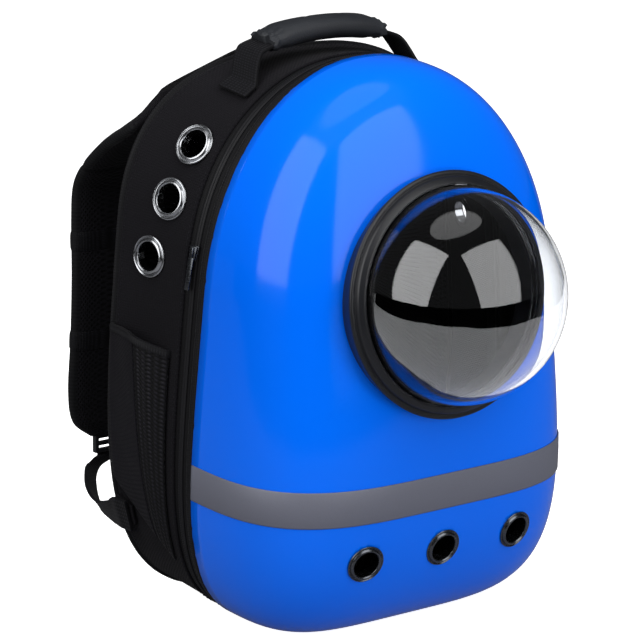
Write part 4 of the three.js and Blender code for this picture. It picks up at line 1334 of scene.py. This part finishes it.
def adjuster_frame():
    """Ladder lock: a grid plate with its two slots left out."""
    middle = strap_place(*STRAP_ROUTE[-1][:3])
    middle.z -= SEAM_GAP + ADJUSTER_HEIGHT / 2
    slot = WEBBING_WIDTH / 2 + SEAM_GAP
    xs = [-ADJUSTER_WIDTH / 2, -slot, 0, slot, ADJUSTER_WIDTH / 2]
    half = ADJUSTER_HEIGHT / 2
    bar = ADJUSTER_BAR / 2
    zs = [-half, -bar - ADJUSTER_SLOT, -bar, bar, bar + ADJUSTER_SLOT, half]

    def place(u, v):
        return middle + Vector((xs[round(u * 4)], -ADJUSTER_THICKNESS / 2, zs[round(v * 5)]))

    bm = shaped_grid(4, 5, place, (ADJUSTER_WIDTH, ADJUSTER_HEIGHT))
    gaps = []
    for face in bm.faces:
        centre = face.calc_center_median() - middle
        if abs(centre.x) < slot and bar < abs(centre.z) < bar + ADJUSTER_SLOT:
            gaps.append(face)
    bmesh.ops.delete(bm, geom=gaps, context="FACES")
    return face_away(bm, middle)


def anchor_patch():
    """Cloth patch over the webbing's sewn end, narrower towards the front."""
    face = SEWN_LIFT - CLOTH_INSET

    def place(u, v):
        depth = mix(SIDE_DEPTH - ANCHOR_LENGTH, SIDE_DEPTH, u)
        narrow = mix(0.55, 1.0, u)
        height = ANCHOR_HEIGHT + (v - 0.5) * ANCHOR_WIDTH * narrow
        return side_point(angle_at_height(height, depth), depth, face + CLOTH)

    return face_away(shaped_grid(8, 10, place, (ANCHOR_LENGTH, ANCHOR_WIDTH)), CABIN)


def slider_body():
    """Zip slider on the left side with its bridge and hanging pull."""
    angle = angle_at_height(SLIDER_HEIGHT, ZIP_MIDDLE)
    up = side_normal(angle, ZIP_MIDDLE)
    along = (side_point(angle + 0.01, ZIP_MIDDLE) - side_point(angle - 0.01, ZIP_MIDDLE)).normalized()
    if along.z > 0:
        along.negate()
    across = up.cross(along).normalized()
    seat = side_point(angle, ZIP_MIDDLE, ZIP_COIL_RISE - ZIP_INSET + SEAM_GAP)
    turn = Matrix((along, across, up)).transposed().to_4x4()

    def block(size, middle, rounding, taper=1.0):
        part = bmesh.new()
        bmesh.ops.create_cube(part, size=1.0)
        bmesh.ops.scale(part, vec=size, verts=part.verts)
        for vert in part.verts:
            if vert.co.x > 0:
                vert.co.y *= taper
        bmesh.ops.bevel(part, geom=part.edges[:], offset=rounding, offset_type="OFFSET", segments=3,
                        profile=0.5, affect="EDGES", material=-1, clamp_overlap=True)
        bmesh.ops.translate(part, vec=middle, verts=part.verts)
        return part

    whole = merged(
        block((11.0, 8.0, 1.0), (0, 0, 0.5), 0.35, 0.72),
        block((10.0, 7.0, 1.0), (0, 0, 1.9), 0.35, 0.72),
        block((8.5, 2.2, 1.3), (0, 0, 2.8), 0.5),
        block((24.0, 5.0, 1.5), (15.2, 0, 2.6), 0.5, 0.8),
    )
    bmesh.ops.transform(whole, matrix=Matrix.Translation(seat) @ turn, verts=whole.verts)
    mirrored = mirror_copy(whole)
    whole.free()
    return mirrored


# Settings

class CarrierSizes(bpy.types.PropertyGroup):
    shell_wall: bpy.props.FloatProperty(
        name="Shell wall", description="Thickness of the hard front", default=SHELL_WALL * MM,
        min=0.001, max=0.006, unit="LENGTH")
    cloth_ripple: bpy.props.FloatProperty(
        name="Cloth ripple", description="How far the side cloth wanders in and out", default=0.6 * MM,
        min=0.0, max=0.002, unit="LENGTH")
    stitch_spacing: bpy.props.FloatProperty(
        name="Stitch spacing", description="From one stitch to the next", default=4.2 * MM,
        min=0.002, max=0.01, unit="LENGTH")
    coil_pitch: bpy.props.FloatProperty(
        name="Coil pitch", description="From one zip tooth to the next", default=COIL_PITCH * MM,
        min=0.001, max=0.004, unit="LENGTH")


class CarrierColours(bpy.types.PropertyGroup):
    shell: bpy.props.FloatVectorProperty(
        name="Shell", description="Colour of the hard front", subtype="COLOR", size=4,
        default=srgb("0068F0"), min=0.0, max=1.0)
    ring: bpy.props.FloatVectorProperty(
        name="Window ring", description="Colour of the window's ring", subtype="COLOR", size=4,
        default=srgb("17181C"), min=0.0, max=1.0)
    cloth: bpy.props.FloatVectorProperty(
        name="Cloth", description="Colour of the soft side", subtype="COLOR", size=4,
        default=srgb("161519"), min=0.0, max=1.0)
    stripe: bpy.props.FloatVectorProperty(
        name="Reflective tape", description="Colour of the reflective tape", subtype="COLOR", size=4,
        default=srgb("6C6E7B"), min=0.0, max=1.0)


class CarrierStudio(bpy.types.PropertyGroup):
    side_light: bpy.props.FloatProperty(
        name="Side light", description="Power of the tall softbox on the left", default=22.0,
        min=0.0, max=500.0)
    front_light: bpy.props.FloatProperty(
        name="Front light", description="Power of the tall softbox in front", default=18.0,
        min=0.0, max=500.0)
    top_light: bpy.props.FloatProperty(
        name="Top light", description="Power of the overhead lamp", default=2.2, min=0.0, max=500.0)
    fill_light: bpy.props.FloatProperty(
        name="Fill light", description="Power of the overhead fill, which no gloss reflects",
        default=20.0, min=0.0, max=500.0)
    low_light: bpy.props.FloatProperty(
        name="Low light", description="Power of the low front fill, which no gloss reflects",
        default=7.0, min=0.0, max=500.0)
    surround: bpy.props.FloatProperty(
        name="Surround", description="Brightness of the room", default=0.06, min=0.0, max=4.0)
    floor_glow: bpy.props.FloatProperty(
        name="Floor glow", description="Even light from the floor", default=0.26, min=0.0, max=4.0)
    backdrop_glow: bpy.props.FloatProperty(
        name="Backdrop glow", description="How bright the white background is in the picture",
        default=1.05, min=0.0, max=4.0)


# Operators

class CARRIER_OT_stage(bpy.types.Operator):
    """Sets the camera at the photograph's angle, the pale floor and the soft studio light"""
    bl_idname = "carrier.stage"
    bl_label = "Stage"

    # The photograph's camera: angles in degrees, distance in metres, the rest in millimetres
    azimuth = 35.8715
    elevation = 15.7243
    roll = -0.6514
    distance = 2.53901
    aim = Vector((-32.489, 0.0, 225.196))
    lens = 195.34
    film = 36.0

    lamp_distance = 1.6
    lamp_target = Vector((0, 0, 0.22))
    paper_radius = 12.0
    paper_gap = 0.002
    flag_line = [(-1.5, 1.2), (-1.15, 0.2), (-0.95, -0.5), (-0.5, -0.88), (0.1, -0.95), (0.7, -0.85),
                 (1.2, -0.3), (1.6, 0.6)]
    flag_height = 0.3

    def execute(self, context):
        self.camera(context)
        self.lamps(context)
        self.room(context)
        self.flag(context)
        return {"FINISHED"}

    def camera(self, context):
        a, e, r = (math.radians(value) for value in (self.azimuth, self.elevation, self.roll))
        back = Vector((-math.sin(a) * math.cos(e), -math.cos(a) * math.cos(e), math.sin(e)))
        right = Vector((math.cos(a), -math.sin(a), 0))
        up = back.cross(right)
        turned_right = right * math.cos(r) - up * math.sin(r)
        turned_up = right * math.sin(r) + up * math.cos(r)
        data = bpy.data.cameras.new("camera")
        data.lens = self.lens
        data.sensor_width = self.film
        data.clip_end = 100.0
        camera = bpy.data.objects.new("camera", data)
        turn = Matrix((turned_right, turned_up, back)).transposed().to_4x4()
        camera.matrix_world = Matrix.Translation(TO_ROW @ self.aim + back * self.distance) @ turn
        context.scene.collection.objects.link(camera)
        context.scene.camera = camera

    def lamps(self, context):
        studio = context.scene.carrier_studio
        self.softbox(context, "side_softbox", (-0.86, -0.08, 0.5), (1.3, 1.85), studio.side_light)
        self.softbox(context, "front_softbox", (0.11, -0.84, 0.53), (1.35, 1.75), studio.front_light)
        self.softbox(context, "top_lamp", (0.0, 0.02, 1.0), (1.3, 0.9), studio.top_light, "ELLIPSE")
        fill = self.softbox(context, "top_fill", (0.0, -0.1, 1.0), (1.6, 1.4), studio.fill_light)
        low = self.softbox(context, "low_fill", (0.15, -0.95, -0.08), (1.4, 0.12), studio.low_light)
        for lamp in (fill, low):
            lamp.visible_glossy = False
            lamp.visible_transmission = False

    def room(self, context):
        """A dim room round white paper, shown as a camera would record it."""
        studio = context.scene.carrier_studio
        context.scene.view_settings.view_transform = "Standard"
        world = bpy.data.worlds.new("room")
        world.use_nodes = True
        world.node_tree.nodes["Background"].inputs["Color"].default_value = srgb("F4F6FA")
        world.node_tree.nodes["Background"].inputs["Strength"].default_value = studio.surround
        context.scene.world = world

        # The photograph's white paper is brighter in the picture than in what the gloss reflects,
        # so the camera sees one sheet, and gloss and shade see a dimmer one just under it
        white = self.paper(context, "floor", 0.0, "F6F6F6", studio.backdrop_glow)
        white.visible_glossy = False
        white.visible_diffuse = False
        dim = self.paper(context, "floor_bounce", -self.paper_gap, "98989B", studio.floor_glow)
        dim.visible_camera = False
        dim.visible_transmission = False

    def paper(self, context, name, height, code, glow):
        bm = bmesh.new()
        bmesh.ops.create_circle(bm, cap_ends=True, segments=96, radius=self.paper_radius,
                                matrix=Matrix.Translation((0, 0, height)))
        colour = srgb(code)
        shade = (*(channel * 0.95 for channel in colour[:3]), 1.0)
        look = studio_paper(f"pale_studio_paper_{name}", colour, shade, glow)
        mesh = bpy.data.meshes.new(name)
        bm.to_mesh(mesh)
        bm.free()
        mesh.materials.append(look)
        sheet = bpy.data.objects.new(name, mesh)
        context.scene.collection.objects.link(sheet)
        return sheet

    def flag(self, context):
        """A low dark studio flag in front, which shows only in reflections, under the softboxes."""
        bm = bmesh.new()
        foot = [bm.verts.new((x, y, 0.001)) for x, y in self.flag_line]
        edges = [bm.edges.new(pair) for pair in zip(foot, foot[1:])]
        raised = bmesh.ops.extrude_edge_only(bm, edges=edges)["geom"]
        tops = [item for item in raised if isinstance(item, bmesh.types.BMVert)]
        bmesh.ops.translate(bm, vec=(0, 0, self.flag_height), verts=tops)
        mesh = bpy.data.meshes.new("flag")
        bm.to_mesh(mesh)
        bm.free()
        mesh.materials.append(studio_paper("black_flag_cloth", srgb("0A0A0C"), srgb("060607"), 0.0))
        flag = bpy.data.objects.new("flag", mesh)
        flag.visible_camera = False
        flag.visible_diffuse = False
        flag.visible_shadow = False
        context.scene.collection.objects.link(flag)

    def softbox(self, context, name, direction, size, power, shape="RECTANGLE"):
        light = bpy.data.lights.new(name, "AREA")
        light.shape = shape
        light.size, light.size_y = size
        light.energy = power
        lamp = bpy.data.objects.new(name, light)
        heading = Vector(direction).normalized()
        turn = heading.to_track_quat("Z", "Y").to_matrix().to_4x4()
        lamp.matrix_world = Matrix.Translation(self.lamp_target + heading * self.lamp_distance) @ turn
        context.scene.collection.objects.link(lamp)
        return lamp


class CARRIER_OT_shell(bpy.types.Operator):
    """Builds the hard front, with its window and vent holes, and its inner face painted near black as the
    dark cabin's shade
    """
    bl_idname = "carrier.shell"
    bl_label = "Hard front"

    def execute(self, context):
        look = finishes()
        # Painted shade: the second material colours the inner face near black for the dark cabin
        shell = make_piece("hard_front", shell_body(), [look["shell"], look["cabin_shade"]],
                           ["front_shell"])
        add_wall(shell, context.scene.carrier_sizes.shell_wall / MM, inner_material=1)
        return {"FINISHED"}


class CARRIER_OT_window(bpy.types.Operator):
    """Builds the bubble window and the black ring that holds it"""
    bl_idname = "carrier.window"
    bl_label = "Bubble window"

    def execute(self, context):
        look = finishes()
        make_piece("bubble_ring", window_ring(), [look["ring"]], ["window_ring"], 50)
        make_piece("bubble_dome", window_dome(), [look["dome"]], ["window_dome"],
                   50)
        return {"FINISHED"}


class CARRIER_OT_stripe(bpy.types.Operator):
    """Lays the reflective tape round the hard front"""
    bl_idname = "carrier.stripe"
    bl_label = "Reflective tape"

    def execute(self, context):
        stripe = make_piece("reflective_band", stripe_band(), [finishes()["stripe"]],
                            ["reflective_stripe"])
        add_wall(stripe, STRIPE_TAPE)
        return {"FINISHED"}


class CARRIER_OT_vents(bpy.types.Operator):
    """Sets the rolled eyelets into the vent holes of the front and the sides"""
    bl_idname = "carrier.vents"
    bl_label = "Vent eyelets"

    def execute(self, context):
        look = finishes()
        for name, origin, axis in front_vents():
            body = eyelet(FRONT_VENT["hole"], FRONT_VENT["width"], SHELL_WALL, origin, axis)
            make_piece(f"front_vent_{name}", body, [look["gunmetal"]], [f"front_eyelet_{name}"],
                       40)
        for name, origin, axis in side_vents():
            body = eyelet(SIDE_VENT["hole"], SIDE_VENT["width"], CLOTH, origin, axis)
            make_piece(f"side_vent_{name}", body, [look["nickel"]], [f"side_eyelet_{name}"],
                       40)
        return {"FINISHED"}


class CARRIER_OT_zip(bpy.types.Operator):
    """Builds the bound edge, the zip's tape and coil, its slider and the sewing beside them"""
    bl_idname = "carrier.zip"
    bl_label = "Zip and binding"

    def execute(self, context):
        look = finishes()
        sizes = context.scene.carrier_sizes
        length = rim_length()
        ripple = lambda u, depth, lift: 0.15 * wander((*round_trip(u, length), depth * 2), 11.0)
        fold = rounded_band(BINDING_FRONT - TUCK / 2, BINDING_BACK, -CLOTH_INSET, 3.0, 1.1)
        make_piece("edge_binding", side_band(fold, 420, ripple), [look["binding"]],
                   ["shell_binding"])
        make_piece("zip_tape", tape_band(), [look["zip_tape"]], ["zipper"], 50)
        make_piece("zip_coil", coil_band(sizes.coil_pitch / MM), [look["coil"]], [])
        make_piece("zip_slider_and_pull", slider_body(), [look["gunmetal"]], ["zip_slider"],
                   40)
        count = int(length / (sizes.stitch_spacing / MM))
        rows = []
        for depth, lift in STITCH_ROWS:
            angles = [even_angle((i + 0.5) / count) for i in range(count)]
            points = [side_point(angle, depth, lift) for angle in angles]
            rows.append(stitch_row(points, [side_normal(angle, depth) for angle in angles]))
        make_piece("side_stitching", merged(*rows), [look["thread"]], [])
        return {"FINISHED"}


class CARRIER_OT_gusset(bpy.types.Operator):
    """Builds the soft side's cloth and the corded piping at its back edge"""
    bl_idname = "carrier.gusset"
    bl_label = "Soft side"

    def execute(self, context):
        look = finishes()
        cloth = make_piece("side_cloth", cloth_band(), [look["cloth"]], ["gusset"])
        add_wall(cloth, CLOTH)
        make_piece("back_cord_piping", piping_band(), [look["binding"]], ["back_piping"])
        return {"FINISHED"}


class CARRIER_OT_back(bpy.types.Operator):
    """Builds the padded back panel with its sewn channels"""
    bl_idname = "carrier.back"
    bl_label = "Padded back"

    def execute(self, context):
        panel = make_piece("padded_back", panel_body(), [finishes()["mesh"]], ["back_panel"],
                           60)
        return {"FINISHED"}


class CARRIER_OT_handle(bpy.types.Operator):
    """Builds the grab handle: its webbing over the arch and the soft grip round it"""
    bl_idname = "carrier.handle"
    bl_label = "Grab handle"

    def execute(self, context):
        look = finishes()
        tape = make_piece("handle_webbing", handle_webbing(handle_route()), [look["webbing"]],
                          ["handle_strap"])
        add_wall(tape, WEBBING, 0.0)
        round_edges(tape, 0.5)
        grip = make_piece("handle_soft_grip", grip_body(grip_route()), [look["grip"]],
                          ["handle_grip"], 60)
        return {"FINISHED"}


class CARRIER_OT_pockets(bpy.types.Operator):
    """Builds the side pockets: a cloth wall, a mesh gore and a bound mouth"""
    bl_idname = "carrier.pockets"
    bl_label = "Side pockets"

    def execute(self, context):
        look = finishes()
        for piece in make_pair("pocket_wall", pocket_wall(), [look["pocket"]],
                               ["side_pocket_{side}"]):
            add_wall(piece, POCKET_WALL)
        for piece in make_pair("pocket_gore", pocket_gore(), [look["pocket_mesh"]],
                               ["side_pocket_mesh_{side}"]):
            add_wall(piece, POCKET_MESH)
        make_pair("pocket_hem", pocket_hem(), [look["binding"]], [], 50)
        return {"FINISHED"}


class CARRIER_OT_straps(bpy.types.Operator):
    """Builds the padded shoulder straps with bound edges and keepers"""
    bl_idname = "carrier.straps"
    bl_label = "Shoulder straps"

    def execute(self, context):
        look = finishes()
        route = strap_route()
        for piece in make_pair("padded_strap", strap_body(route), [look["mesh"], look["binding"]],
                               ["shoulder_strap_{side}"]):
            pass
        for name, share in STRAP_KEEPERS.items():
            make_pair(f"strap_keeper_{name}", strap_band(route, share, KEEPER_HEIGHT),
                      [look["webbing"]], [], 60)
        return {"FINISHED"}


class CARRIER_OT_webbing(bpy.types.Operator):
    """Builds the ladder locks, the lower webbing and the patches that it is sewn to"""
    bl_idname = "carrier.webbing"
    bl_label = "Lower webbing"

    def execute(self, context):
        look = finishes()
        for piece in make_pair("ladder_lock", adjuster_frame(), [look["buckle"]],
                               ["strap_adjuster_{side}"], 40):
            add_wall(piece, ADJUSTER_THICKNESS)
            round_edges(piece, 0.6, 3)
        for piece in make_pair("lower_webbing", flat_tape(webbing_route()), [look["webbing"]],
                               ["strap_webbing_{side}"]):
            add_wall(piece, WEBBING, 0.0)
            round_edges(piece, 0.5)
        for piece in make_pair("anchor_patch", anchor_patch(), [look["cloth"]],
                               ["strap_anchor_{side}"]):
            add_wall(piece, CLOTH)
            round_edges(piece, 0.5)
        return {"FINISHED"}


class CARRIER_PT_panel(bpy.types.Panel):
    """The carrier's settings and its pieces, in the order in which they are built"""
    bl_label = "Bubble Pet Carrier"
    bl_idname = "CARRIER_PT_panel"
    bl_space_type = "VIEW_3D"
    bl_region_type = "UI"
    bl_category = "Carrier"

    def draw(self, context):
        scene = context.scene
        for group in (scene.carrier_sizes, scene.carrier_colours, scene.carrier_studio):
            box = self.layout.box()
            for field in group.__annotations__:
                box.prop(group, field)
        for operator in OPERATORS:
            self.layout.operator(operator.bl_idname)


OPERATORS = (
    CARRIER_OT_stage, CARRIER_OT_shell, CARRIER_OT_window, CARRIER_OT_stripe, CARRIER_OT_vents,
    CARRIER_OT_zip, CARRIER_OT_gusset, CARRIER_OT_back, CARRIER_OT_handle, CARRIER_OT_pockets,
    CARRIER_OT_straps, CARRIER_OT_webbing,
)
GROUPS = {
    "carrier_sizes": CarrierSizes,
    "carrier_colours": CarrierColours,
    "carrier_studio": CarrierStudio,
}


def register():
    for group in GROUPS.values():
        bpy.utils.register_class(group)
    for name, group in GROUPS.items():
        setattr(bpy.types.Scene, name, bpy.props.PointerProperty(type=group))
    for operator in OPERATORS:
        bpy.utils.register_class(operator)
    bpy.utils.register_class(CARRIER_PT_panel)


def unregister():
    bpy.utils.unregister_class(CARRIER_PT_panel)
    for operator in reversed(OPERATORS):
        bpy.utils.unregister_class(operator)
    for name, group in reversed(GROUPS.items()):
        delattr(bpy.types.Scene, name)
        bpy.utils.unregister_class(group)


def main():
    register()
    for operator in OPERATORS:
        group, name = operator.bl_idname.split(".")
        getattr(getattr(bpy.ops, group), name)()


if __name__ == "__main__":
    main()
